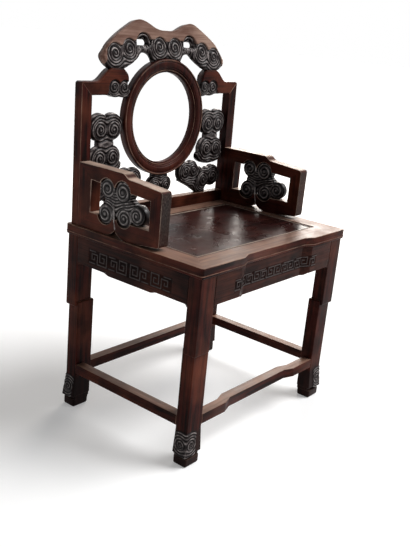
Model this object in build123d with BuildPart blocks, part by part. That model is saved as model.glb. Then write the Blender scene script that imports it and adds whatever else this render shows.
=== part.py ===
"""Carved rosewood armchair with an open roundel back.

Millimetres, +Z up.  The chair faces -Y; the origin is on the floor, under the middle of the
overall width and depth.  Left and right are those of someone who stands in front of the chair.
Every member is a separate solid, held by mortise and tenon as in traditional joinery.
"""
import os
from math import cos, radians, sin, tan

from build123d import *

os.makedirs("parts", exist_ok=True)

# ---------------------------------------------------------------- joints
fit = 0.15                # clearance all round a tenon, and beside a curved seat
tenon_depth = 12.0        # how far a tenon enters
tenon_thick = 10.0
spare = 4.0               # extra length of a leaning piece, cut off level where it stands

# ---------------------------------------------------------------- seat
seat_width = 640.0
seat_depth = 466.0
seat_height = 524.0       # floor to the top of the seat frame
seat_edge = 27.0          # thickness of the seat frame
seat_corner = 7.0         # rounding of its corners in plan
edge_round = 4.0          # rounding of its lower edge
front_rail_width = 67.0
side_rail_width = 60.0
back_rail_width = 77.0
mitre_tenon_length = 44.0
mitre_tenon_width = 18.0
mitre_tenon_thick = 6.0
mitre_tenon_in = 34.0     # its middle inside the seat's side
mitre_tenon_back = 45.0   # and inside the seat's front or rear edge
mitre_tenon_over = 5.0    # its middle above the leg's tenon
panel_thick = 13.0
panel_drop = 2.0          # top of the panel below the top of the frame
tongue_thick = 5.0
tongue_length = 7.0
bay_depth = 13.0          # how far the middle of the front stands back
bay_half = 130.0          # half length of that middle part
bay_ramp = 30.0           # length of the slope beside it
batten_spacing = 230.0
batten_width = 32.0
batten_thick = 12.0
batten_tenon_shoulder = 6.0

# ---------------------------------------------------------------- legs
leg_tenon_width = 24.0
leg_width = 56.0          # along X
leg_depth = 38.0          # along Y
leg_inset = 4.7           # outer faces inside the seat's edge
leg_round = 3.0
knee_height = 300.0       # where the leg steps inward
knee_lap = 14.0           # height over which both sections overlap
knee_step = 5.5           # how far it steps
foot_top = 96.0           # top of the carved foot
foot_flare = 5.5          # how far the carved foot spreads, on its two outer sides
foot_flare_bottom = 33.0
foot_waist_inset = 2.5
foot_block_height = 23.0  # plain block below the carved foot
foot_block_width = 53.0
foot_block_depth = 42.0
foot_block_out = 3.0      # its centre outside the leg's centre
foot_block_round = 5.5
knee_round = 4.4

# ---------------------------------------------------------------- aprons
apron_thick = 24.0
front_apron_height = 81.0     # below the seat frame, at the middle
side_apron_height = 77.5
apron_lift = 5.0          # how much higher the lower edge is near the legs
apron_end = 98.0          # length of that raised part
apron_ramp = 20.0         # length of the curve to it
apron_spur = 9.0          # radius of the small bracket at each leg
apron_tenon_height = 40.0

# ---------------------------------------------------------------- stretchers
stretcher_height = 26.5
stretcher_thick = 28.5
stretcher_round = 1.5
stretcher_tenon_height = 14.0
front_stretcher_top = 129.0
side_stretcher_top = 131.0
back_stretcher_top = 122.5
stretcher_bay_depth = 11.0

# ---------------------------------------------------------------- back
back_setback = 38.4       # front of the back, in front of the seat's rear edge
back_rake = 0.92          # lean of the back, degrees
back_inset = 7.0          # outer faces of the posts inside the seat's edge
post_width = 33.5
post_depth = 26.5
post_height = 363.0       # above the seat
post_round = 7.0          # rounding of the back's upper corners
post_tenon_width = 19.0
arm_back_tenon_height = 30.0
back_rail_height = 34.0
back_rail_depth = 24.0
rail_tenon_shoulder = 7.0 # above and below its tenon
ring_centre = 264.0       # above the seat
ring_bore = 247.0         # diameter of the open roundel
ring_band = 35.5          # width of its frame
ring_depth = 23.0
ring_bead = 5.5           # width of the bead along its outer edge
ring_bead_rise = 1.6
ring_step_width = 4.3     # the steps down to the opening
ring_step_drop = 2.2
ring_steps = 3
ring_tenon_width = 14.0
ring_tenon_thick = 7.0

# ---------------------------------------------------------------- shoulders
shoulder_height = 34.0
shoulder_depth = 24.0
shoulder_inset = 1.0      # its front behind the front of the posts
shoulder_tenon_length = 34.0
shoulder_tenon_height = 12.0
hump_height = 396.0       # above the seat
hump_foot = 260.0         # where its curve leaves the flat top, from the chair's middle
hump_slope = (233.0, 381.0)
hump_outer = 213.0        # ends of its flat top
hump_inner = 168.0
hump_haunch = (155.0, 389.0)
shoulder_inner = (150.0, 372.0)   # where its inner side starts, beside the roundel
shoulder_waist = (150.0, 346.0)
shoulder_lap = (138.0, 336.0)     # laps behind the roundel's edge and is cut to it
shoulder_low = 323.5
shoulder_low_end = 172.0
shoulder_low_curve = (200.0, 327.0)
shoulder_low_foot = 228.0
shoulder_scrolls = ((200.0, 348.0, 19.0), (164.0, 347.0, 19.0))
shoulder_sink = 6.0       # depth of the ground round its scrolls
shoulder_gap = 1.5        # width of that ground outside a scroll

# ---------------------------------------------------------------- cloud carvings of the back
carving_inset = 3.0       # front of the scrolls behind the front of the posts
carving_depth = 20.0
scroll_rise = 4.0         # how far a scroll stands off the ground behind it
rim_share = 0.16          # plain margin round a scroll, as a share of its radius
boss_share = 0.3          # a scroll's eye, likewise
side_scroll_in = 36.5     # centre of an inner scroll outside the roundel
side_scroll_out = 38.5    # centre of an outer scroll inside the post
side_head_height = 247.0
side_head_radius = 36.0
side_foot_height = 166.0
side_foot_radius = 33.0
side_scroll_drop = 4.0    # raised scroll below the centre of its outline
side_scroll_margin = 6.0  # and inside that outline
side_neck_margin = 6.5    # neck beyond the scrolls' centres
side_tail_reach = 62.0    # half length of the rounded tail
side_tail_height = 50.0
side_tail_at = 145.0
corner_upper = ((108.0, 102.0, 31.0), (138.0, 103.0, 31.0))
corner_lower = ((190.0, 74.0, 33.0), (236.0, 80.0, 31.0))
corner_scroll_margin = 8.0
corner_body = ((84.0, 76.0), (131.0, 55.0), (172.0, 32.0), (206.0, 32.0), (206.0, 76.0), (150.0, 112.0),
               (96.0, 112.0))
centre_scrolls = ((-23.0, 75.0, 26.0), (23.0, 75.0, 26.0))
centre_neck_width = 50.0
centre_neck_top = 75.0
centre_crown_width = 64.0
centre_crown_low = 80.0
centre_crown_top = 115.0  # behind the roundel's edge, cut to it

# ---------------------------------------------------------------- crest
crest_tilt = 11.3         # lean of the crest, degrees
crest_depth = 22.0
crest_base = 411.0        # above the seat: where its front plane crosses the back's
crest_sink = 7.0          # depth of the scroll field below the plain band
crest_peak = 110.5        # along its slope, above the base
crest_dip = 86.5
crest_crown = 56.0        # half width of the middle part, above the roundel
crest_top_line = (        # its top and end, from the middle outward, after the dip
    (45.0, 92.5), (100.0, crest_peak), (150.0, 91.0), (203.0, 59.0), (235.0, 27.0), (243.0, 9.0),
    (231.0, -9.0), (208.0, -18.0),
)
crest_low_line = (        # its lower edge, from the foot inward, before the crown
    (168.0, -18.0), (128.0, 2.0), (107.0, 17.0), (94.0, 27.0), (76.0, 26.0), (62.0, 16.0),
)
crest_tenon_width = 30.0
crest_tenon_thick = 8.0
crest_tenon_set = 12.0    # middle of its tenons behind the front of the back
crest_middle = (30.5, 43.3, 25.0)
crest_lip = (92.0, 49.0, 28.0)
crest_inner = (144.0, 35.5, 26.0)
crest_outer = (200.0, 24.0, 23.0)
crest_hole_at = (93.0, 54.0)
crest_hole_length = 43.0
crest_hole_height = 17.0
crest_scroll_gap = 1.5    # sunk ground round each scroll
crest_field = (           # edge of the sunk field between the scrolls, from the middle outward
    (0.0, 61.0), (62.0, 64.0), (123.0, 60.5), (178.0, 45.0), (229.0, 40.0), (236.0, 28.0),
    (235.0, 8.0), (224.0, -30.0),
)

# ---------------------------------------------------------------- arms
arm_length = 282.5        # forward of the back
arm_height = 166.0        # above the seat, at the back
arm_step_at = 148.0       # where the top steps down, forward of the back
arm_step_length = 27.0
arm_step_drop = 12.0
arm_slope_drop = 9.0      # further fall to the front end
arm_lift = 9.0            # front end of the bottom rail above the seat
arm_touch_front = 198.0   # where the bottom rail leaves the seat
arm_stile_rear = 41.5
arm_stile_front = 36.0
arm_top_rail = 37.0       # at the back
arm_top_rail_front = 28.0
arm_bottom_rail = 45.5
arm_notch_start = 99.0    # notch in the bottom rail
arm_notch_apex = 134.0
arm_notch_end = 164.0
arm_notch_height = 21.0
arm_upper_scrolls = ((97.5, 117.0, 26.0), (152.0, 119.0, 27.0))
arm_lower_scrolls = ((95.0, 53.0, 27.5), (160.0, 57.5, 27.0), (201.0, 70.0, 25.5))
arm_body = ((86.0, 84.0), (98.0, 117.0), (152.0, 119.0), (188.0, 96.0), (204.0, 74.0), (160.0, 50.0),
            (95.0, 50.0))
arm_corner_round = 9.0    # of the two front corners
arm_opening_round = 4.0
arm_stem_width = 11.0
arm_stem_at = 193.0
arm_stem_sink = 1.0       # let into the bottom rail
arm_foot_tenon_length = 20.0
arm_corner_tenon = (22.0, 12.0, tenon_thick)

# ---------------------------------------------------------------- worked out from the sizes above
rake = radians(back_rake)
tilt = radians(crest_tilt)
half_width = seat_width / 2
half_depth = seat_depth / 2
crest_rear = crest_base * tan(rake) + crest_peak * sin(tilt) + crest_depth * cos(tilt)
seat_y = -(crest_rear - back_setback) / 2       # the crest passes behind the seat
front_y = seat_y - half_depth
rear_y = seat_y + half_depth
back_y = rear_y - back_setback                  # front of the back, at the seat
under_seat = seat_height - seat_edge
panel_top = seat_height - panel_drop
panel_bottom = panel_top - panel_thick
inner_x = half_width - side_rail_width
inner_front = front_y + front_rail_width
inner_rear = rear_y - back_rail_width

leg_x = half_width - leg_inset - leg_width / 2
leg_y = half_depth - leg_inset - leg_depth / 2
low_x = leg_x - knee_step
low_y = leg_y - knee_step
leg_tenon = (leg_tenon_width, tenon_thick, tenon_depth)

ring_inner = ring_bore / 2
ring_outer = ring_inner + ring_band
half_back = half_width - back_inset
post_inner = half_back - post_width
post_middle = half_back - post_width / 2
post_tenon = (post_tenon_width, 2 * tenon_depth, tenon_thick)
arm_foot_tenon = (tenon_thick, arm_foot_tenon_length, 2 * tenon_depth)
arm_foot_at = (arm_notch_start / 2, (arm_notch_end + arm_touch_front) / 2)
side_inner = ring_outer + side_scroll_in
side_outer = post_inner - side_scroll_out

back_plane = Plane(origin=(0, back_y, seat_height), x_dir=(1, 0, 0), z_dir=(0, -cos(rake), sin(rake)))
crest_plane = Plane(
    origin=(0, back_y + crest_base * tan(rake), seat_height + crest_base),
    x_dir=(1, 0, 0),
    z_dir=(0, -cos(tilt), sin(tilt)),
)
ring_plane = Plane(origin=back_plane.from_local_coords(Vector(0, ring_centre, 0)),
                   x_dir=(1, 0, 0), z_dir=back_plane.z_dir)


def save(piece, name):
    """Label a finished piece and write it."""
    piece.part.label = name
    export_step(piece.part, f"parts/{name}.step")


def tenon(at, size, plane=Plane.XY):
    """Add a tenon, centred at a point of a plane, to the piece being built."""
    with Locations(plane):
        with Locations(at):
            Box(*size)


def mortise(at, size, plane=Plane.XY):
    """Cut the mortise for such a tenon, larger by the fit all round."""
    with Locations(plane):
        with Locations(at):
            Box(*(length + 2 * fit for length in size), mode=Mode.SUBTRACT)


def outline(points):
    """Make a face from straight sides, in the sketch being built."""
    with BuildLine() as sides:
        Polyline(*points, close=True)
    make_face(sides.line)


def discs(scrolls, grow=0.0):
    """Add the round outlines of scrolls, each (across, up, radius), to the sketch being built."""
    for across, up, radius in scrolls:
        with Locations((across, up)):
            Circle(radius + grow)


def both_sides(scrolls):
    """The same scrolls on both sides of the middle."""
    return [(side * across, *rest) for across, *rest in scrolls for side in (-1, 1)]


def raise_scrolls(plane, scrolls, rise):
    """Stand each scroll off its ground by half the rise, and its eye by the whole rise."""
    for share, amount in ((1 - rim_share, rise / 2), (boss_share, rise)):
        with BuildSketch(plane) as rounds:
            discs([(across, up, radius * share) for across, up, radius in scrolls])
        extrude(rounds.sketch, amount=amount)


def clear_roundel():
    """Cut the piece being built to the round outer edge of the roundel."""
    with BuildSketch(ring_plane.offset(-3 * ring_depth)) as clearing:
        Circle(ring_outer + fit)
    extrude(clearing.sketch, amount=6 * ring_depth, mode=Mode.SUBTRACT)


def round_back_corner(side):
    """Round the upper corner of the back on the piece being built, over its full depth."""
    centre = (side * (half_back - post_round), post_height - post_round)
    reach = post_round + spare
    with BuildSketch(back_plane.offset(post_depth)) as sliver:
        with Locations((centre[0] + side * reach / 2, centre[1] + reach / 2)):
            Rectangle(reach, reach)
        with Locations(centre):
            Circle(post_round, mode=Mode.SUBTRACT)
    extrude(sliver.sketch, amount=-3 * post_depth, mode=Mode.SUBTRACT)


# ================================================================ seat frame
mitre_tenon_at = (half_width - mitre_tenon_in, mitre_tenon_back, under_seat + leg_tenon[2] + mitre_tenon_over)
mitre_tenon = (mitre_tenon_length, mitre_tenon_width, mitre_tenon_thick)
groove_z = panel_bottom + panel_thick / 2
batten_tenon_z = panel_bottom - batten_thick / 2
batten_tenon = (batten_width - 2 * batten_tenon_shoulder, 2 * tenon_depth, batten_thick / 2)

corner_points = [(-half_width, front_y), (half_width, front_y), (half_width, rear_y), (-half_width, rear_y)]
inner_points = [(-inner_x, inner_front), (inner_x, inner_front),
                (inner_x, inner_rear), (-inner_x, inner_rear)]
front_line = [
    (-half_width, front_y),
    (-bay_half - bay_ramp, front_y),
    (-bay_half, front_y + bay_depth),
    (bay_half, front_y + bay_depth),
    (bay_half + bay_ramp, front_y),
    (half_width, front_y),
]


with BuildPart() as seat_frame:
    with BuildSketch(Plane.XY.offset(under_seat)) as plan:
        outline(front_line + [(half_width, rear_y), (-half_width, rear_y)])
        fillet([v for v in plan.vertices() if abs(v.X) > half_width - fit], seat_corner)
    extrude(amount=seat_edge)
    fillet(faces().sort_by(Axis.Z)[0].edges(), edge_round)
    with BuildSketch(Plane.XY.offset(under_seat)):
        outline(inner_points)
    extrude(amount=seat_edge, mode=Mode.SUBTRACT)
    with BuildSketch(Plane.XY.offset(groove_z - tongue_thick / 2 - fit)):
        outline(inner_points)
        offset(amount=tongue_length + fit, kind=Kind.INTERSECTION)
    extrude(amount=tongue_thick + 2 * fit, mode=Mode.SUBTRACT)
    for side in (-1, 1):
        for end, batten_y in ((-1, inner_front), (1, inner_rear)):
            mortise((side * leg_x, seat_y + end * leg_y, under_seat + tenon_depth / 2), leg_tenon)
            mortise((side * batten_spacing / 2, batten_y, batten_tenon_z), batten_tenon)
        mortise((side * post_middle, 0, -post_depth / 2), post_tenon, back_plane)
        for forward in arm_foot_at:
            mortise((side * post_middle, back_y - forward, seat_height), arm_foot_tenon)

for index, name in enumerate(("front", "right", "back", "left")):
    following = (index + 1) % 4
    with BuildPart() as rail:
        add(seat_frame.part)
        with BuildSketch(Plane.XY.offset(under_seat)):
            outline([corner_points[index], corner_points[following],
                     inner_points[following], inner_points[index]])
        extrude(amount=seat_edge, mode=Mode.INTERSECT)
        for side in (-1, 1):
            for edge_y, inward in ((front_y, 1), (rear_y, -1)):
                spot = (side * mitre_tenon_at[0], edge_y + inward * mitre_tenon_at[1], mitre_tenon_at[2])
                if name in ("left", "right"):
                    mortise(spot, mitre_tenon)
                elif (name == "front") == (inward == 1):
                    tenon(spot, mitre_tenon)
    save(rail, f"seat_rail_{name}")

# ================================================================ seat panel and its battens
with BuildPart() as panel:
    with BuildSketch(Plane.XY.offset(panel_bottom)):
        outline(inner_points)
        offset(amount=-fit, kind=Kind.INTERSECTION)
    extrude(amount=panel_thick)
    with BuildSketch(Plane.XY.offset(groove_z - tongue_thick / 2)):
        outline(inner_points)
        offset(amount=tongue_length - 2 * fit, kind=Kind.INTERSECTION)
    extrude(amount=tongue_thick)
save(panel, "seat_panel")

for side, name in ((-1, "left"), (1, "right")):
    with BuildPart() as batten:
        length = inner_rear - inner_front
        middle = (inner_rear + inner_front) / 2
        with Locations((side * batten_spacing / 2, middle, batten_tenon_z)):
            Box(batten_width, length, batten_thick)
            Box(batten_tenon[0], length + batten_tenon[1], batten_tenon[2])
    save(batten, f"seat_batten_{name}")

# ================================================================ legs
apron_tenon_z = under_seat - side_apron_height / 2 + apron_lift
apron_y = half_depth - leg_inset - apron_thick / 2      # centre of the front and back aprons
apron_x = half_width - leg_inset - apron_thick / 2      # centre of the side aprons
stretcher_y = low_y + leg_depth / 2 - stretcher_thick / 2
stretcher_x = low_x + leg_width / 2 - stretcher_thick / 2
stretcher_top = {"front": front_stretcher_top, "back": back_stretcher_top,
                 "left": side_stretcher_top, "right": side_stretcher_top}


def cross_tenon(along_x):
    """Size of an apron's or stretcher's tenon bar, by the way it points."""
    length = 2 * tenon_depth
    return (length, tenon_thick) if along_x else (tenon_thick, length)


with BuildPart() as thigh:
    with BuildSketch(Plane.XY.offset(knee_height)):
        RectangleRounded(leg_width, leg_depth, leg_round)
    extrude(amount=under_seat - knee_height)
    fillet(faces().sort_by(Axis.Z)[0].edges(), knee_round)

with BuildPart() as shin:
    with BuildSketch(Plane.XY.offset(foot_flare_bottom)):
        RectangleRounded(leg_width, leg_depth, leg_round)
    extrude(amount=knee_height + knee_lap - foot_flare_bottom)
    fillet(faces().sort_by(Axis.Z)[-1].edges(), knee_round)
    with BuildSketch(Plane.XY.offset(foot_block_height)):
        RectangleRounded(leg_width - foot_waist_inset, leg_depth - foot_waist_inset, leg_round)
    extrude(amount=foot_flare_bottom - foot_block_height)

with BuildPart() as foot_block:
    with BuildSketch():
        RectangleRounded(foot_block_width, foot_block_depth, 2 * leg_round)
    extrude(amount=foot_block_height)
    fillet(faces().sort_by(Axis.Z)[0].edges(), foot_block_round)

for side, side_name in ((-1, "left"), (1, "right")):
    for end, end_name in ((-1, "front"), (1, "back")):
        top_at = (side * leg_x, seat_y + end * leg_y)
        low_at = (side * low_x, seat_y + end * low_y)
        block_at = (side * (low_x + foot_block_out), seat_y + end * (low_y + foot_block_out))
        with BuildPart() as leg:
            for piece, at in ((thigh, top_at), (shin, low_at), (foot_block, block_at)):
                with Locations(at):
                    add(piece.part)
            for level, grow in ((foot_top, 0.0), (foot_flare_bottom, foot_flare)):
                with BuildSketch(Plane.XY.offset(level)):
                    with Locations((low_at[0] + side * grow / 2, low_at[1] + end * grow / 2)):
                        RectangleRounded(leg_width + grow, leg_depth + grow, leg_round)
            loft()
            tenon((*top_at, under_seat + tenon_depth / 2), leg_tenon)
            for low, along_x, at in (
                (False, True, (side * (leg_x - leg_width / 2), seat_y + end * apron_y)),
                (False, False, (side * apron_x, seat_y + end * (leg_y - leg_depth / 2))),
                (True, True, (side * (low_x - leg_width / 2), seat_y + end * stretcher_y)),
                (True, False, (side * stretcher_x, seat_y + end * (low_y - leg_depth / 2))),
            ):
                rail_name = end_name if along_x else side_name
                height = stretcher_tenon_height if low else apron_tenon_height
                level = stretcher_top[rail_name] - stretcher_height / 2 if low else apron_tenon_z
                mortise((*at, level), (*cross_tenon(along_x), height))
        save(leg, f"leg_{end_name}_{side_name}")

# ================================================================ aprons
apron_reach = leg_x - leg_width / 2                 # half length of the front and back aprons
apron_reach_side = leg_y - leg_depth / 2


def apron_outline(reach, height):
    """Front view of an apron: raised near the legs, with a small bracket at each end."""
    low = -height
    raised = low + apron_lift
    bend = reach - apron_end
    with BuildLine() as edge:
        for side in (-1, 1):
            Polyline((side * (reach - apron_spur), raised), (side * bend, raised))
            Spline((side * bend, raised), (side * (bend - apron_ramp), low),
                   tangents=((-side, 0), (-side, 0)))
            RadiusArc((side * (reach - apron_spur), raised), (side * reach, raised - apron_spur),
                      side * apron_spur)
            Line((side * reach, raised - apron_spur), (side * reach, 0))
        Line((-bend + apron_ramp, low), (bend - apron_ramp, low))
        Line((-reach, 0), (reach, 0))
    make_face(edge.line)


for name, end, height in (("front", -1, front_apron_height), ("back", 1, side_apron_height)):
    deep = apron_thick + bay_depth
    with BuildPart() as apron:
        with BuildSketch(Plane(origin=(0, seat_y + end * apron_y - apron_thick / 2 + deep, under_seat),
                               x_dir=(1, 0, 0), z_dir=(0, -1, 0))):
            apron_outline(apron_reach, height)
        extrude(amount=deep)
        with BuildSketch(Plane.XY.offset(under_seat - height)):
            face = [(x, y - front_y if end < 0 else 0) for x, y in front_line]
            outline([(x, seat_y + end * apron_y - apron_thick / 2 + y) for x, y in face]
                    + [(x, seat_y + end * apron_y + apron_thick / 2 + y) for x, y in reversed(face)])
        extrude(amount=height, mode=Mode.INTERSECT)
        for side in (-1, 1):
            tenon((side * apron_reach, seat_y + end * apron_y, apron_tenon_z),
                  (*cross_tenon(True), apron_tenon_height))
    save(apron, f"apron_{name}")

for name, side in (("left", -1), ("right", 1)):
    with BuildPart() as apron:
        with BuildSketch(Plane(origin=(side * apron_x - apron_thick / 2, seat_y, under_seat),
                               x_dir=(0, 1, 0), z_dir=(1, 0, 0))):
            apron_outline(apron_reach_side, side_apron_height)
        extrude(amount=apron_thick)
        for end in (-1, 1):
            tenon((side * apron_x, seat_y + end * apron_reach_side, apron_tenon_z),
                  (*cross_tenon(False), apron_tenon_height))
    save(apron, f"apron_{name}")

# ================================================================ stretchers
reach_x = low_x - leg_width / 2
reach_y = low_y - leg_depth / 2
for name, along_x, sign in (("front", True, -1), ("back", True, 1), ("left", False, -1), ("right", False, 1)):
    top = stretcher_top[name]
    level = top - stretcher_height / 2
    with BuildPart() as stretcher:
        if name == "front":
            outer = seat_y - stretcher_y - stretcher_thick / 2
            line = [(-reach_x, 0), (-bay_half - bay_ramp, 0), (-bay_half, stretcher_bay_depth),
                    (bay_half, stretcher_bay_depth), (bay_half + bay_ramp, 0), (reach_x, 0)]
            with BuildSketch(Plane.XY.offset(top - stretcher_height)):
                outline([(x, outer + y) for x, y in line]
                        + [(x, outer + y + stretcher_thick) for x, y in reversed(line)])
            extrude(amount=stretcher_height)
        elif name == "back":
            with Locations((0, seat_y + stretcher_y, level)):
                Box(2 * reach_x, stretcher_thick, stretcher_height)
        else:
            with Locations((sign * stretcher_x, seat_y, level)):
                Box(stretcher_thick, 2 * reach_y, stretcher_height)
        long_axis = Axis.X if along_x else Axis.Y
        fillet(edges().filter_by(long_axis), stretcher_round)
        for end in (-1, 1):
            if along_x:
                at = (end * reach_x, seat_y + sign * stretcher_y, level)
            else:
                at = (sign * stretcher_x, seat_y + end * reach_y, level)
            tenon(at, (*cross_tenon(along_x), stretcher_tenon_height))
    save(stretcher, f"stretcher_{name}")

# ================================================================ back posts and lower rail
shoulder_bottom = post_height - shoulder_height
shoulder_tenon_at = (post_inner + tenon_depth, post_height - shoulder_height / 2)
shoulder_tenon = (shoulder_tenon_length, shoulder_tenon_height, tenon_thick)
rail_tenon = (2 * tenon_depth, back_rail_height - 2 * rail_tenon_shoulder, tenon_thick)
arm_back_tenon_at = arm_height / 2
arm_back_tenon = (tenon_thick, arm_back_tenon_height, 2 * tenon_depth)
mid_depth = -post_depth / 2
below = -spare

for side, name in ((-1, "left"), (1, "right")):
    with BuildPart() as post:
        with BuildSketch(back_plane):
            outline([(side * post_inner, below), (side * half_back, below), (side * half_back, post_height),
                     (side * post_inner, shoulder_bottom)])
        extrude(amount=-post_depth)
        round_back_corner(side)
        split(bisect_by=Plane.XY.offset(seat_height), keep=Keep.TOP)
        tenon((side * post_middle, 0, mid_depth), post_tenon, back_plane)
        mortise((side * post_inner, back_rail_height / 2, mid_depth), rail_tenon, back_plane)
        mortise((side * shoulder_tenon_at[0], shoulder_tenon_at[1], mid_depth), shoulder_tenon, back_plane)
        mortise((side * post_middle, arm_back_tenon_at, 0), arm_back_tenon, back_plane)
    save(post, f"post_{name}")

with BuildPart() as back_rail:
    with BuildSketch(back_plane.offset(-(post_depth - back_rail_depth) / 2)):
        outline([(-post_inner, below), (post_inner, below), (post_inner, back_rail_height),
                 (-post_inner, back_rail_height)])
    extrude(amount=-back_rail_depth)
    split(bisect_by=Plane.XY.offset(seat_height), keep=Keep.TOP)
    for side in (-1, 1):
        tenon((side * post_inner, back_rail_height / 2, mid_depth), rail_tenon, back_plane)
save(back_rail, "back_rail")

# ================================================================ roundel frame, in four mitred arcs
crest_tenon_at = (0, ring_centre + ring_outer, -crest_tenon_set)
crest_tenon = (crest_tenon_width, 2 * tenon_depth, crest_tenon_thick)
ring_band_edge = ring_outer - ring_bead
ring_steps_edge = ring_inner + ring_steps * ring_step_width
ring_lip = -ring_bead_rise - ring_steps * ring_step_drop
ring_tenon_at = ((ring_steps_edge + ring_band_edge) / 2, (ring_lip - ring_depth) / 2, 0.0)
ring_tenon = (ring_tenon_width, ring_tenon_thick, 2 * tenon_depth)


def roundel_joint(angle):
    """Plane across the roundel's frame at an angle: x outward from its centre, y to the front."""
    outward = ring_plane.x_dir * cos(radians(angle)) + ring_plane.y_dir * sin(radians(angle))
    return Plane(origin=ring_plane.origin, x_dir=outward, z_dir=outward.cross(ring_plane.z_dir))


for index, name in enumerate(("upper", "left", "lower", "right")):
    start = 45.0 + 90.0 * index
    steps = []
    for step in range(ring_steps):
        radius = ring_steps_edge - step * ring_step_width
        level = -ring_bead_rise - step * ring_step_drop
        steps += [(radius, level), (radius, level - ring_step_drop)]
    with BuildPart() as arc:
        with BuildSketch(roundel_joint(start)):
            with BuildLine():
                ThreePointArc((ring_outer, -ring_bead_rise), (ring_outer - ring_bead / 2, 0),
                              (ring_band_edge, -ring_bead_rise))
                Polyline((ring_band_edge, -ring_bead_rise), *steps, (ring_inner, ring_lip),
                         (ring_inner, -ring_depth), (ring_outer, -ring_depth),
                         (ring_outer, -ring_bead_rise))
            make_face()
        revolve(axis=Axis(ring_plane.origin, ring_plane.z_dir), revolution_arc=90.0)
        for angle in (start, start + 90.0):
            if name in ("upper", "lower"):
                tenon(ring_tenon_at, ring_tenon, roundel_joint(angle))
            else:
                mortise(ring_tenon_at, ring_tenon, roundel_joint(angle))
        if name == "upper":
            mortise(crest_tenon_at, crest_tenon, back_plane)
    save(arc, f"roundel_{name}")

# ================================================================ shoulders
crest_foot_tenon = (2 * tenon_depth, 2 * tenon_depth, crest_tenon_thick)
crest_foot_at = ((hump_inner + hump_outer) / 2, hump_height, -crest_tenon_set)
shoulder_plane = back_plane.offset(-shoulder_inset)

for side, name in ((-1, "left"), (1, "right")):
    hump_ends = [(side * hump_outer, hump_height + spare), (side * hump_inner, hump_height + spare)]
    slope, haunch, inner, waist, lap, low_curve = (
        (side * across, up) for across, up in
        (hump_slope, hump_haunch, shoulder_inner, shoulder_waist, shoulder_lap, shoulder_low_curve)
    )
    low_end = (side * shoulder_low_end, shoulder_low)
    low_foot = (side * shoulder_low_foot, shoulder_bottom)
    post_end = (side * post_inner, shoulder_bottom)
    scrolls = [(side * across, up, radius) for across, up, radius in shoulder_scrolls]
    with BuildPart() as shoulder:
        with BuildSketch(shoulder_plane):
            with BuildLine():
                Polyline(post_end, (side * half_back, post_height), (side * hump_foot, post_height))
                Spline((side * hump_foot, post_height), slope, hump_ends[0],
                       tangents=((-side, 0), (-side, 0)))
                Line(*hump_ends)
                ThreePointArc(hump_ends[1], haunch, inner)
                Polyline(inner, waist, lap, (lap[0], shoulder_low), low_end)
                Spline(low_end, low_curve, low_foot)
                Line(low_foot, post_end)
            make_face()
        extrude(amount=-shoulder_depth)
        round_back_corner(side)
        with BuildSketch(shoulder_plane):
            discs(scrolls, shoulder_gap)
        extrude(amount=-shoulder_sink, mode=Mode.SUBTRACT)
        raise_scrolls(shoulder_plane.offset(-shoulder_sink), scrolls, scroll_rise)
        clear_roundel()
        split(bisect_by=Plane.XY.offset(seat_height + hump_height), keep=Keep.BOTTOM)
        tenon((side * shoulder_tenon_at[0], shoulder_tenon_at[1], mid_depth), shoulder_tenon, back_plane)
        mortise((side * crest_foot_at[0], *crest_foot_at[1:]), crest_foot_tenon, back_plane)
    save(shoulder, f"shoulder_{name}")

# ================================================================ cloud carvings of the back
ground = back_plane.offset(-carving_inset - scroll_rise)
ground_depth = carving_depth - scroll_rise


def trim_to_posts():
    """Keep the piece being built between the posts and above the lower rail."""
    with BuildSketch(back_plane.offset(post_depth)) as between:
        outline([(-post_inner + fit, back_rail_height + fit), (post_inner - fit, back_rail_height + fit),
                 (post_inner - fit, post_height), (-post_inner + fit, post_height)])
    extrude(between.sketch, amount=-3 * post_depth, mode=Mode.INTERSECT)


for side, name in ((-1, "left"), (1, "right")):
    middle = side * (side_inner + side_outer) / 2
    scrolls = [(side * across, up, radius) for across in (side_inner, side_outer)
               for up, radius in ((side_head_height, side_head_radius), (side_foot_height, side_foot_radius))]
    with BuildPart() as cloud:
        with BuildSketch(ground):
            discs(scrolls)
            with Locations((middle, (side_head_height + side_foot_height) / 2)):
                Rectangle(side_outer - side_inner + 2 * side_neck_margin, side_head_height - side_foot_height)
            with Locations((middle, side_tail_at)):
                Ellipse(side_tail_reach, side_tail_height / 2)
        extrude(amount=-ground_depth)
        raise_scrolls(ground, [(across, up - side_scroll_drop, radius - side_scroll_margin)
                               for across, up, radius in scrolls], scroll_rise)
        clear_roundel()
        trim_to_posts()
    save(cloud, f"cloud_side_{name}")

    scrolls = [(side * across, up, radius) for across, up, radius in corner_upper + corner_lower]
    with BuildPart() as cloud:
        with BuildSketch(ground):
            discs(scrolls)
            outline([(side * across, up) for across, up in corner_body])
        extrude(amount=-ground_depth)
        raise_scrolls(ground, [(across, up, radius - corner_scroll_margin) for across, up, radius in scrolls],
                      scroll_rise)
        clear_roundel()
        trim_to_posts()
    save(cloud, f"cloud_corner_{name}")

centre_half = ((centre_neck_width / 2, back_rail_height), (centre_neck_width / 2, centre_neck_top),
               (centre_crown_width / 2, centre_crown_low), (centre_crown_width / 2, centre_crown_top))
with BuildPart() as cloud:
    with BuildSketch(ground):
        discs(centre_scrolls)
        outline(list(centre_half) + [(-across, up) for across, up in reversed(centre_half)])
    extrude(amount=-ground_depth)
    raise_scrolls(ground, centre_scrolls, scroll_rise)
    clear_roundel()
    trim_to_posts()
save(cloud, "cloud_centre")

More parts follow.
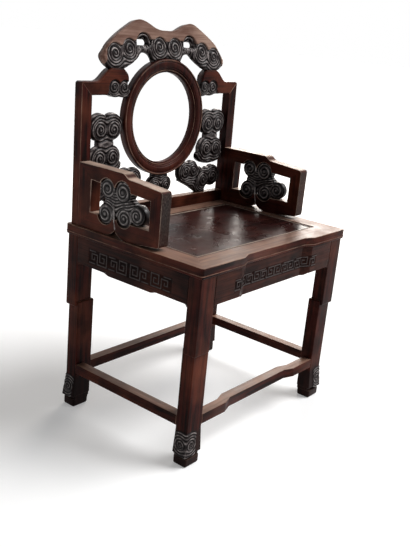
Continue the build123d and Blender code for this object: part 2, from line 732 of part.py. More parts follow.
# ================================================================ crest
with BuildPart() as crest:
    with BuildSketch(crest_plane):
        with BuildLine():
            for side in (-1, 1):
                top_line = [(side * across, up) for across, up in crest_top_line]
                low_line = [(side * across, up) for across, up in crest_low_line]
                Spline((0, crest_dip), *top_line, tangents=((side, 0), (-side, -0.35)))
                Line(top_line[-1], low_line[0])
                Spline(*low_line, (side * crest_crown, 0), tangents=((-side, 0.1), (0, -1)))
            Line((-crest_crown, 0), (crest_crown, 0))
        make_face()
        with Locations(*((side * crest_hole_at[0], crest_hole_at[1]) for side in (-1, 1))):
            SlotOverall(crest_hole_length, crest_hole_height, mode=Mode.SUBTRACT)
    extrude(amount=-crest_depth)
    with BuildSketch(crest_plane):
        discs(both_sides((crest_middle, crest_lip, crest_inner, crest_outer)), crest_scroll_gap)
        outline([(-across, up) for across, up in reversed(crest_field)] + list(crest_field[1:]))
    extrude(amount=-crest_sink, mode=Mode.SUBTRACT)
    raise_scrolls(crest_plane.offset(-crest_sink), both_sides((crest_middle, crest_inner, crest_outer)),
                  scroll_rise)
    clear_roundel()
    split(bisect_by=Plane.XY.offset(seat_height + hump_height), keep=Keep.TOP)
    tenon(crest_tenon_at, crest_tenon, back_plane)
    for side in (-1, 1):
        tenon((side * crest_foot_at[0], *crest_foot_at[1:]), crest_foot_tenon, back_plane)
save(crest, "crest")

# ================================================================ arms
arm_nose = arm_height - arm_step_drop - arm_slope_drop
step_end = arm_step_at + arm_step_length
lean = -arm_height * tan(rake)
arm_corners = [(0, 0), (lean, arm_height), (arm_length, arm_nose), (arm_length, arm_lift)]
arm_opening = [(arm_stile_rear, arm_bottom_rail), (arm_stile_rear, arm_height - arm_top_rail),
               (arm_length - arm_stile_front, arm_nose - arm_top_rail_front),
               (arm_length - arm_stile_front, arm_bottom_rail)]
arm_members = (("rear_stile", (-1, 0)), ("top", (0, 1)), ("front_stile", (1, 0)), ("bottom", (0, -1)))
arm_scrolls = arm_upper_scrolls + arm_lower_scrolls


def arm_cloud_outline(grow):
    """The cloud carving's outline; the rails take it with a little room to spare."""
    discs(arm_scrolls, grow)
    outline(arm_body)
    stem_top = arm_lower_scrolls[2][1]
    stem_low = arm_bottom_rail - arm_stem_sink
    with Locations((arm_stem_at, (stem_top + stem_low) / 2)):
        Rectangle(arm_stem_width + 2 * grow, stem_top - stem_low + 2 * grow)


for side, name in ((-1, "left"), (1, "right")):
    inner_face = -post_inner if side < 0 else half_back
    arm_plane = Plane(origin=(inner_face, back_y, seat_height), x_dir=(0, -1, 0), z_dir=(-1, 0, 0))
    with BuildPart() as arm_frame:
        with BuildSketch(arm_plane) as section:
            with BuildLine():
                Line((0, 0), arm_corners[1])
                Line(arm_corners[1], (arm_step_at, arm_height))
                Spline((arm_step_at, arm_height), (step_end, arm_height - arm_step_drop),
                       tangents=((1, 0), (1, -0.1)))
                Polyline((step_end, arm_height - arm_step_drop), arm_corners[2], arm_corners[3],
                         (arm_touch_front, 0), (arm_notch_end, 0))
                Spline((arm_notch_end, 0), (arm_notch_apex, arm_notch_height),
                       tangents=((-1, 0.2), (-0.3, 1)))
                Spline((arm_notch_apex, arm_notch_height), (arm_notch_start, 0),
                       tangents=((-0.6, -1), (-1, -0.2)))
                Line((arm_notch_start, 0), (0, 0))
            make_face()
            for corner in arm_corners[2:]:
                fillet(section.vertices().sort_by_distance(corner)[0], arm_corner_round)
            with BuildLine():
                Polyline(*arm_opening, close=True)
            make_face(mode=Mode.SUBTRACT)
            for corner in arm_opening:
                fillet(section.vertices().sort_by_distance(corner)[0], arm_opening_round)
        extrude(amount=post_width)
        with BuildSketch(arm_plane):
            arm_cloud_outline(fit)
        extrude(amount=post_width, mode=Mode.SUBTRACT)

    for index, (member, outward) in enumerate(arm_members):
        ends = (index, (index + 1) % 4)
        beyond = [(arm_corners[end][0] + outward[0] * arm_stile_rear,
                   arm_corners[end][1] + outward[1] * arm_stile_rear) for end in ends]
        with BuildPart() as arm:
            add(arm_frame.part)
            with BuildSketch(arm_plane):
                outline([arm_corners[ends[0]], *beyond, arm_corners[ends[1]],
                         arm_opening[ends[1]], arm_opening[ends[0]]])
            extrude(amount=post_width, mode=Mode.INTERSECT)
            for end in ends:
                corner_at = ((arm_corners[end][0] + arm_opening[end][0]) / 2,
                             (arm_corners[end][1] + arm_opening[end][1]) / 2, post_width / 2)
                if outward[0] == 0:
                    tenon(corner_at, arm_corner_tenon, arm_plane)
                else:
                    mortise(corner_at, arm_corner_tenon, arm_plane)
            if member == "rear_stile":
                tenon((side * post_middle, arm_back_tenon_at, 0), arm_back_tenon, back_plane)
            if member == "bottom":
                for forward in arm_foot_at:
                    tenon((side * post_middle, back_y - forward, seat_height), arm_foot_tenon)
        save(arm, f"arm_{member}_{name}")

    with BuildPart() as cloud:
        with BuildSketch(arm_plane.offset(scroll_rise / 2)):
            arm_cloud_outline(0)
        extrude(amount=post_width - scroll_rise)
        raise_scrolls(arm_plane.offset(post_width - scroll_rise / 2), arm_scrolls, scroll_rise / 2)
        raise_scrolls(arm_plane.offset(scroll_rise / 2), arm_scrolls, -scroll_rise / 2)
    save(cloud, f"arm_cloud_{name}")
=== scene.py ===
"""Finishes, carvings, light and camera of a carved rosewood armchair.

The joiner's model is the fixed frame.  Its plain members get rounded arrises and a worn finish;
its carved and turned members are replaced by boards and arcs with their full relief.  Sizes in
the classes are millimetres where nothing else is said; meshes are made in metres.
"""
import logging
import math
from collections.abc import Callable, Sequence
from dataclasses import dataclass, field
from enum import Enum

import bmesh
import bpy
import numpy as np
from mathutils import Matrix, Vector
from mathutils.bvhtree import BVHTree


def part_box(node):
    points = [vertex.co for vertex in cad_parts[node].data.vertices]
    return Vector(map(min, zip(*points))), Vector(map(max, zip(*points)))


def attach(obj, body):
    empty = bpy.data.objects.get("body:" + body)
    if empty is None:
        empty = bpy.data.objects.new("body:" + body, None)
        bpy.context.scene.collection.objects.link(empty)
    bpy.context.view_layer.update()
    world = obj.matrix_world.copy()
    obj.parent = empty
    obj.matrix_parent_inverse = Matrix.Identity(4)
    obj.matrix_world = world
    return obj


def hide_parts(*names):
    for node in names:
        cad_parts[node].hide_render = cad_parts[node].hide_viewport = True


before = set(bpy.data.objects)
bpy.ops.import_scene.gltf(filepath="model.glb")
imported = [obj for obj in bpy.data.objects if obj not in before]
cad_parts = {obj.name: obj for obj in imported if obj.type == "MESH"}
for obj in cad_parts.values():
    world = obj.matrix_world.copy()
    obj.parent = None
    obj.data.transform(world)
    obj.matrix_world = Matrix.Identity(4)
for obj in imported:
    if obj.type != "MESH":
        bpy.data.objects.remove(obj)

LOG = logging.getLogger("armchair")
MM = 0.001
Array = np.ndarray
Point = tuple[float, float]
Colour = tuple[float, ...]
Distance = Callable[[Array, Array], Array]
Material = bpy.types.Material
Object = bpy.types.Object
Socket = bpy.types.NodeSocket


class Grain(Enum):
    """The way the grain runs: the index of the world axis along it."""

    ACROSS = 0
    DEEP = 1
    UP = 2


def srgb(red: int, green: int, blue: int) -> Colour:
    """Return a linear colour.

    Args:
        red: Display value, 0 to 255.
        green: Display value, 0 to 255.
        blue: Display value, 0 to 255.

    Returns:
        The linear colour with full alpha.
    """
    linear = [((value / 255 + 0.055) / 1.055) ** 2.4 if value > 10 else value / 3295
              for value in (red, green, blue)]
    return (*linear, 1.0)


# ------------------------------------------------------------------ places shared by the members
@dataclass(frozen=True)
class Chair:
    """Main places of the chair, read from the joiner's model where it gives them.

    Attributes:
        seat_top: Top of the seat.
        rear_y: Rear edge of the seat.
        front_y: Front edge of the seat.
        half_width: Half the seat's width.
        under_seat: Underside of the seat's frame.
        back_setback: From the seat's rear edge to the front of the back.
        back_rake: Lean of the back, in degrees.
        crest_tilt: Lean of the crest, in degrees.
        crest_base: Height above the seat at which the crest starts to lean.
        ring_centre: Height of the roundel's middle above the seat.
        ring_outer: The roundel's outer radius.
        post_inner: From the middle to a post's inner side.
        half_back: Half the back's width.
        post_width: Width of a post.
        post_height: Height of the posts above the seat.
        post_round: Radius of a post's upper corner.
        back_rail_height: Top of the back's lower rail above the seat.
        fit: Clearance of a carved piece from the roundel, the posts and the rail.
    """

    seat_top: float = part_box("seat_rail_front")[1][2] / MM
    rear_y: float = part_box("seat_rail_back")[1][1] / MM
    front_y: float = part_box("seat_rail_front")[0][1] / MM
    half_width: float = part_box("seat_rail_right")[1][0] / MM
    under_seat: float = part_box("seat_rail_front")[0][2] / MM
    back_setback: float = 38.4
    back_rake: float = 0.92
    crest_tilt: float = 11.3
    crest_base: float = 411.0
    ring_centre: float = 264.0
    ring_outer: float = 159.0
    post_inner: float = 279.5
    half_back: float = 313.0
    post_width: float = 33.5
    post_height: float = 363.0
    post_round: float = 7.0
    back_rail_height: float = 34.0
    fit: float = 0.15

    @property
    def seat_y(self) -> float:
        """Middle of the seat, front to back."""
        return (self.front_y + self.rear_y) / 2

    @property
    def back_y(self) -> float:
        """Front of the back, at the seat."""
        return self.rear_y - self.back_setback


CHAIR = Chair()


@dataclass(frozen=True)
class WorkPlane:
    """A flat face to carve: where it starts, and its three directions."""

    origin: Vector
    across: Vector
    up: Vector
    out: Vector

    def place(self, across: Array, up: Array, out: Array) -> Array:
        """Return places in the chair's frame.

        Args:
            across: Distances across the face.
            up: Distances up the face.
            out: Distances off the face.

        Returns:
            One row of x, y, z for each place, in millimetres.
        """
        rows = [np.outer(values, np.array(way)) for values, way in
                ((across, self.across), (up, self.up), (out, self.out))]
        return np.array(self.origin) + rows[0] + rows[1] + rows[2]


def leaning_plane(height: float, setting: float, lean: float) -> WorkPlane:
    """Return a plane that faces the sitter and leans back.

    Args:
        height: Height of its origin above the seat.
        setting: How far its origin lies behind the front of the back.
        lean: Lean in degrees.

    Returns:
        The plane, with its origin in the chair's middle.
    """
    angle = math.radians(lean)
    return WorkPlane(
        Vector((0.0, CHAIR.back_y + setting, CHAIR.seat_top + height)),
        Vector((1.0, 0.0, 0.0)),
        Vector((0.0, math.sin(angle), math.cos(angle))),
        Vector((0.0, -math.cos(angle), math.sin(angle))),
    )


BACK_PLANE = leaning_plane(0.0, 0.0, CHAIR.back_rake)
CREST_PLANE = leaning_plane(
    CHAIR.crest_base, CHAIR.crest_base * math.tan(math.radians(CHAIR.back_rake)), CHAIR.crest_tilt
)


# ------------------------------------------------------------------ outlines as distances
def circle(across: float, up: float, radius: float) -> Distance:
    """The signed distance from a circle, negative inside."""
    return lambda u, v: np.hypot(u - across, v - up) - radius


def stretched_circle(across: float, up: float, wide: float, tall: float) -> Distance:
    """About the signed distance from an ellipse with these half sizes, negative inside."""
    return lambda u, v: (np.hypot((u - across) / wide, (v - up) / tall) - 1.0) * min(wide, tall)


def polygon(points: Sequence[Point]) -> Distance:
    """Return the signed distance from a closed outline.

    Args:
        points: Its corners, in order.

    Returns:
        A function of places, negative inside.
    """
    corners = np.array(points, float)

    def distance(u: Array, v: Array) -> Array:
        """Find the distance of each place from the outline.

        Args:
            u: Places across.
            v: Places up.

        Returns:
            The distances, negative inside.
        """
        nearest = np.full(np.shape(u), np.inf)
        inside = np.zeros(np.shape(u), bool)
        for start, end in zip(corners, np.roll(corners, -1, axis=0)):
            run, rise = end - start
            length = run * run + rise * rise
            if length == 0:
                continue
            share = np.clip(((u - start[0]) * run + (v - start[1]) * rise) / length, 0, 1)
            nearest = np.minimum(nearest, np.hypot(u - start[0] - share * run, v - start[1] - share * rise))
            crosses = (start[1] > v) != (end[1] > v)
            if rise != 0:
                inside ^= crosses & (u < start[0] + (v - start[1]) * run / rise)
        return np.where(inside, -nearest, nearest)

    return distance


def joined(*shapes: Distance) -> Distance:
    """The outline round several shapes together."""
    return lambda u, v: np.minimum.reduce([shape(u, v) for shape in shapes])


def curve_through(points: Sequence[Point], pieces: int = 8) -> list[Point]:
    """Return points on a smooth curve through the given ones.

    Args:
        points: Places that the curve passes, in order.
        pieces: Pieces between two of them.

    Returns:
        The points of the curve, ends included.
    """
    held = np.array([points[0], *points, points[-1]], float)
    made = []
    for index in range(1, len(held) - 2):
        before, start, end, after = held[index - 1:index + 3]
        for part in range(pieces):
            t = part / pieces
            made.append(tuple(0.5 * (
                2 * start + (end - before) * t + (2 * before - 5 * start + 4 * end - after) * t**2
                + (3 * start - before - 3 * end + after) * t**3)))
    return [*made, tuple(held[-1])]


def ease(low: float, high: float, value: Array) -> Array:
    """Rise smoothly from 0 at low to 1 at high."""
    share = np.clip((value - low) / (high - low), 0, 1)
    return share * share * (3 - 2 * share)


def mirrored(points: Sequence[Point]) -> list[Point]:
    """The same points on the other side of the middle, in reverse."""
    return [(-across, up) for across, up in reversed(points)]


def sided(side: int, points: Sequence[Point]) -> list[Point]:
    """The same points on the right, or with side -1 on the left."""
    return [(side * across, up) for across, up in points]


def span_of(side: int, near: float, far: float) -> Point:
    """Least and greatest place across, on the right or with side -1 on the left."""
    return (near, far) if side > 0 else (-far, -near)


# ------------------------------------------------------------------ carving
def flat_band(phase: Array, squareness: float = 2.2) -> Array:
    """Height of flat-backed bands, 0 in the narrow groove between them and 1 on top."""
    return 1 - np.abs(2 * (phase - np.floor(phase)) - 1) ** squareness


def ridge(distance: Array, half: float) -> Array:
    """Height of a round-backed ridge, 1 along its middle and 0 from its half width outward."""
    return np.sqrt(np.clip(1 - (distance / half) ** 2, 0, 1))


@dataclass(frozen=True)
class Scroll:
    """A cloud scroll: a band that winds in to a round eye.

    Attributes:
        across: Its centre.
        up: Its centre.
        radius: Its outer radius.
        spin: 1 or -1, the way it winds.
        entry: Direction from which its band comes in, degrees.
        eye_share: The eye's radius, as a share of the scroll's.
        bands: Turns of the band, with half a turn lost at the eye.
        collar: Where the band is at full height, as a share of the eye's radius.
    """

    across: float
    up: float
    radius: float
    spin: int = 1
    entry: float = 90.0
    eye_share: float = 0.27
    bands: float = 2.3
    collar: float = 1.3

    def distance(self, u: Array, v: Array) -> Array:
        """Signed distance from its outer edge."""
        return np.hypot(u - self.across, v - self.up) - self.radius

    def height(self, u: Array, v: Array) -> Array:
        """Return the height of its bands and eye.

        Args:
            u: Places across.
            v: Places up.

        Returns:
            Heights from 0 in the grooves to 1 on the bands.
        """
        radius = np.hypot(u - self.across, v - self.up)
        angle = np.arctan2(v - self.up, u - self.across) - math.radians(self.entry)
        turn = angle * self.spin / (2 * math.pi)
        turn -= np.floor(turn)
        eye = self.radius * self.eye_share
        pitch = (self.radius - eye) / (self.bands - 0.5)
        winding = flat_band((self.radius - radius) / pitch + turn) * ease(eye, eye * self.collar, radius)
        dome = np.sqrt(np.clip(1 - (radius / eye) ** 2, 0, 1))
        return np.where(radius < eye, dome, winding)

    def swell(self, u: Array, v: Array) -> Array:
        """How far its disc swells out, 0 at the edge and 1 in the middle."""
        return np.clip(1 - (np.hypot(u - self.across, v - self.up) / self.radius) ** 2, 0, 1)


@dataclass(frozen=True)
class CloudRelief:
    """Bands of cloud that wind into scrolls and run round them in waves.

    Attributes:
        scrolls: The scrolls.
        band: Width of a band outside them.
        melt: How softly the bands turn in the valleys between scrolls.
        leaders: The scrolls that the bands follow, or none for all.
    """

    scrolls: tuple[Scroll, ...]
    band: float = 7.6
    melt: float = 6.0
    leaders: tuple[int, ...] = ()

    def around(self, u: Array, v: Array) -> Array:
        """Distance outside the scrolls that the bands follow, smoothed in the valleys."""
        followed = [self.scrolls[index] for index in self.leaders] or self.scrolls
        return -self.melt * np.log(sum(np.exp(-scroll.distance(u, v) / self.melt) for scroll in followed))

    def height(self, u: Array, v: Array) -> Array:
        """Return the height of the carving.

        Args:
            u: Places across.
            v: Places up.

        Returns:
            Heights from 0 in its grooves to 1 on its bands.
        """
        made = flat_band(self.around(u, v) / self.band)
        for scroll in self.scrolls:
            made = np.where(scroll.distance(u, v) < 0, scroll.height(u, v), made)
        return made

    def swell(self, u: Array, v: Array) -> Array:
        """How far the scrolls' discs swell out, 0 to 1."""
        return np.maximum.reduce([scroll.swell(u, v) for scroll in self.scrolls])


@dataclass
class Surface:
    """One carved side of a board.

    Attributes:
        level: Height off the work plane.
        relief: 0 in grooves to 1 on what the hand polishes.
        plain: 1 where the wood is plain, 0 where it is carved and dark.
    """

    level: Array
    relief: Array
    plain: Array


Side = Callable[[Array, Array], Surface]


def even_side(level: float, relief: float = 0.45, plain: float = 0.25) -> Side:
    """An uncarved side at one level, by default as dull as the rear of a carving."""
    return lambda u, v: Surface(*(np.full_like(u, value) for value in (level, relief, plain)))


def cut_sheet(span: tuple[float, ...], step: float,
              outline: Distance) -> tuple[Array, list[list[int]], list[tuple[int, int]]]:
    """Lay a fine grid over an outline and trim it to the outline's edge.

    Args:
        span: Least and greatest place across, then up.
        step: Size of a cell.
        outline: Signed distance, negative inside.

    Returns:
        The places, the faces on them, and the edge pairs along the outline.
    """
    u, v = np.meshgrid(np.arange(span[0], span[1] + step, step), np.arange(span[2], span[3] + step, step))
    away = outline(u, v)
    inside = away < 0
    index = np.full(u.shape, -1)
    index[inside] = np.arange(int(inside.sum()))
    places = [*zip(u[inside], v[inside])]
    cell_corners = (np.s_[:-1, :-1], np.s_[:-1, 1:], np.s_[1:, 1:], np.s_[1:, :-1])
    count = sum(inside[corner].astype(int) for corner in cell_corners)
    whole = count == 4
    faces = np.stack([index[corner][whole] for corner in cell_corners], axis=1).tolist()
    crossings: dict[tuple, int] = {}
    rim = []

    def crossing(a: tuple[int, int], b: tuple[int, int]) -> int:
        """Find the place where the outline crosses a grid line.

        Args:
            a: The line's one end, by row and column.
            b: Its other end.

        Returns:
            The place's index.
        """
        key = (min(a, b), max(a, b))
        if key not in crossings:
            share = float(away[a] / (away[a] - away[b]))
            crossings[key] = len(places)
            places.append((u[a] + share * (u[b] - u[a]), v[a] + share * (v[b] - v[a])))
        return crossings[key]

    for row, column in np.argwhere((count > 0) & (count < 4)).tolist():
        cell = [(row, column), (row, column + 1), (row + 1, column + 1), (row + 1, column)]
        ring: list[int] = []
        leaving = None
        for a, b in zip(cell, cell[1:] + cell[:1]):
            if inside[a]:
                ring.append(int(index[a]))
            if inside[a] != inside[b]:
                at = crossing(a, b)
                ring.append(at)
                if inside[a]:
                    leaving = at
                elif leaving is not None:
                    rim.append((leaving, at))
                    leaving = None
                else:
                    rim.append((-1, at))
        if leaving is not None:
            rim = [(leaving, at) if first == -1 else (first, at) for first, at in rim]
        faces.append(ring)
    return np.array(places), faces, rim


def set_in_scene(name: str, data: bpy.types.ID) -> Object:
    """Put a mesh, lamp or camera into the scene.

    Args:
        name: The object's name.
        data: The mesh, lamp or camera.

    Returns:
        The object.
    """
    made = bpy.data.objects.new(name, data)
    bpy.context.scene.collection.objects.link(made)
    return made


def make_piece(name: str, places: Array, faces: Sequence[Sequence[int]], **layers: Array) -> Object:
    """Make an object from places and faces.

    Args:
        name: Its name.
        places: Its places, in millimetres.
        faces: Its faces.
        layers: Values at its places, by the layer's name.

    Returns:
        The object.
    """
    mesh = bpy.data.meshes.new(name)
    mesh.from_pydata((places * MM).tolist(), [], faces)
    for title, values in layers.items():
        layer = mesh.attributes.new(title, "FLOAT", "POINT")
        layer.data.foreach_set("value", values.astype(np.float32))
    return set_in_scene(name, mesh)


@dataclass
class Board:
    """A carved board with a relief on either side and a wall round it.

    Attributes:
        name: Its name.
        span: Least and greatest place across, then up.
        outline: Signed distance from its outline.
        front: Its front side.
        rear: Its rear side.
        place: Puts places across, up and out into the chair.
        step: Size of a cell.
        edge_round: Radius of the front's edge.
        rear_round: Radius of the rear's edge.
        rear_slip: How far the rear is moved up the plane.
    """

    name: str
    span: tuple[float, ...]
    outline: Distance
    front: Side
    rear: Side
    place: Callable[[Array, Array, Array], Array]
    step: float = 1.2
    edge_round: float = 0.01
    rear_round: float = 0.01
    rear_slip: Distance = field(default=lambda u, v: np.zeros_like(v))

    @staticmethod
    def fall(away: Array, radius: float) -> Array:
        """How far a rounded edge falls away from the face, the whole radius at the outline."""
        near = np.clip(1 + away / radius, 0, 1)
        return radius * (1 - np.sqrt(np.clip(1 - near**2, 0, 1)))

    def build(self) -> Object:
        """Make the board's mesh.

        Returns:
            The board, one closed mesh, at its place.
        """
        places, faces, rim = cut_sheet(self.span, self.step, self.outline)
        u, v = places[:, 0], places[:, 1]
        away = self.outline(u, v)
        front, rear = self.front(u, v), self.rear(u, v)
        count = len(places)
        points = np.vstack([
            self.place(u, v, front.level - self.fall(away, self.edge_round)),
            self.place(u, v + self.rear_slip(u, v), rear.level + self.fall(away, self.rear_round)),
        ])
        sides = [[b, a, a + count, b + count] for a, b in rim]
        back_faces = [[index + count for index in reversed(ring)] for ring in faces]
        made = make_piece(self.name, points, [*faces, *back_faces, *sides],
                          relief=np.concatenate([front.relief, rear.relief]),
                          plain=np.concatenate([front.plain, rear.plain]))
        made.data.polygons.foreach_set("use_smooth", [True] * len(made.data.polygons))
        made.data.validate()
        return made


# ------------------------------------------------------------------ finishes
class NodeSheet:
    """A material's nodes, added and linked in few words."""

    def __init__(self, name: str) -> None:
        """Start an empty material with a principled shader.

        Args:
            name: The material's name.
        """
        self.material = bpy.data.materials.new(name)
        self.material.use_nodes = True
        self.tree = self.material.node_tree
        self.shader = self.tree.nodes["Principled BSDF"]

    def add(self, kind: str, **settings: object) -> bpy.types.Node:
        """Return a new node.

        Args:
            kind: Its type, without the leading ShaderNode.
            settings: Its properties, or inputs by name with underscores for spaces.

        Returns:
            The node.
        """
        node = self.tree.nodes.new("ShaderNode" + kind)
        for key, value in settings.items():
            if hasattr(node, key):
                setattr(node, key, value)
            else:
                node.inputs[key.replace("_", " ")].default_value = value
        return node

    def link(self, source: Socket, target: Socket) -> None:
        """Link an output to an input."""
        self.tree.links.new(source, target)

    def fill(self, pairs: Sequence[tuple[Socket, object]]) -> None:
        """Give inputs their values.

        Args:
            pairs: Inputs, each with a socket to link or a value to set.
        """
        for target, value in pairs:
            if isinstance(value, Socket):
                self.link(value, target)
            else:
                target.default_value = value

    def math(self, operation: str, first: object, second: object) -> Socket:
        """Return the result of a sum.

        Args:
            operation: Name of the operation.
            first: A socket or a number.
            second: A socket or a number.

        Returns:
            The result's socket.
        """
        node = self.add("Math", operation=operation)
        self.fill([*zip(node.inputs, (first, second))])
        return node.outputs[0]

    def between(self, value: Socket, low: float, high: float, to_low: float = 0.0,
                to_high: float = 1.0) -> Socket:
        """Return a value mapped from one range to another and held within it.

        Args:
            value: The socket to map.
            low: Start of its range.
            high: End of its range.
            to_low: Result at the start.
            to_high: Result at the end.

        Returns:
            The mapped socket.
        """
        node = self.add("MapRange", clamp=True, From_Min=low, From_Max=high, To_Min=to_low, To_Max=to_high)
        self.link(value, node.inputs["Value"])
        return node.outputs["Result"]

    def blend(self, share: Socket, first: object, second: object) -> Socket:
        """Return a mix of two colours.

        Args:
            share: Share of the second.
            first: A socket or a colour.
            second: A socket or a colour.

        Returns:
            The mixed colour's socket.
        """
        node = self.add("Mix", data_type="RGBA")
        self.fill([(node.inputs[0], share), (node.inputs[6], first), (node.inputs[7], second)])
        return node.outputs[2]

    def noise(self, scale: float, detail: float, shift: float, stretch: Colour) -> Socket:
        """Return a noise in the chair's own space.

        Args:
            scale: How fine it is, per metre.
            detail: Its detail.
            shift: Moves it, so that pieces differ.
            stretch: Further fineness along each axis.

        Returns:
            Its value.
        """
        mapping = self.add("Mapping", Scale=stretch, Location=(shift, shift * 0.7, shift * 1.3))
        self.link(self.add("TexCoord").outputs["Object"], mapping.inputs["Vector"])
        texture = self.add("TexNoise", Scale=scale, Detail=detail)
        self.link(mapping.outputs["Vector"], texture.inputs["Vector"])
        return texture.outputs["Fac"]

    def part_of(self, kind: str, title: str, axis: str) -> Socket:
        """Return one axis of a place or a direction.

        Args:
            kind: The node that gives it.
            title: The node's output.
            axis: X, Y or Z.

        Returns:
            The axis's value.
        """
        parts = self.add("SeparateXYZ")
        self.link(self.add(kind).outputs[title], parts.inputs[0])
        return parts.outputs[axis]

    def corners(self, reach: float) -> Socket:
        """The share of dark wax and dust in the corners, with painted shade, which reach this far in metres.
        """
        shade = self.add("AmbientOcclusion", samples=4, Distance=reach)
        return self.between(shade.outputs["AO"], 0.75, 0.2, 0.0, 0.65)


@dataclass(frozen=True)
class Figure:
    """A noise that draws one thing in a finish.

    Attributes:
        fineness: Its features per metre.
        detail: Its detail.
        shift: Sets it apart from the finish's other noises.
        along: Further fineness along the grain.
        athwart: Further fineness across the grain.
        start: Value of the noise where it starts to show.
        full: Value where it shows most.
        least: Share below the start.
        most: Share from full on.
    """

    fineness: float
    detail: float
    shift: float
    along: float = 1.0
    athwart: float = 1.0
    start: float = 0.0
    full: float = 1.0
    least: float = 0.0
    most: float = 1.0

    def raw(self, sheet: NodeSheet, grain: Grain, shift: float) -> Socket:
        """The noise, laid along a grain and moved by the finish's own shift."""
        stretch = tuple(self.along if axis == grain.value else self.athwart for axis in range(3))
        return sheet.noise(self.fineness, self.detail, shift + self.shift, stretch)

    def share(self, sheet: NodeSheet, noise: Socket, size: float = 1.0) -> Socket:
        """The noise turned into a share, which the size scales."""
        return sheet.between(noise, self.start, self.full, self.least * size, self.most * size)


STREAKS = Figure(20.0, 6.0, 3.1, along=0.3, athwart=5.0, start=0.38, full=0.6)
CLOUDS = Figure(7.0, 3.0, 0.0, start=0.44, full=0.7, most=0.7)
GRIME = Figure(13.0, 6.0, 6.4, start=0.5, full=0.68, most=0.6)
LINES = Figure(46.0, 3.0, 7.7, along=0.1, athwart=7.0, start=0.52, full=0.66, most=0.5)
PORES = Figure(120.0, 2.0, 1.9, along=0.12, athwart=9.0, start=0.6, full=0.68, most=0.55)
EDGE_WEAR_AND_HIGHLIGHT = Figure(21.0, 5.0, 5.3, start=0.36, full=0.62, least=0.15)
TOP_WEAR_AND_SHEEN = Figure(21.0, 5.0, 5.3, start=0.34, full=0.62, least=0.65)
TOP_STREAKS = Figure(17.0, 5.0, 8.8, along=0.3, athwart=4.5, start=0.36, full=0.6, least=0.55)
SPECKLE = Figure(380.0, 3.0, 0.0, along=0.4, start=0.42, full=0.68)
CARVED_BLOTCH = Figure(34.0, 5.0, 2.3)
WIPED_PATCHES = Figure(85.0, 3.0, 4.1, start=0.4, full=0.62, least=0.03, most=0.95)


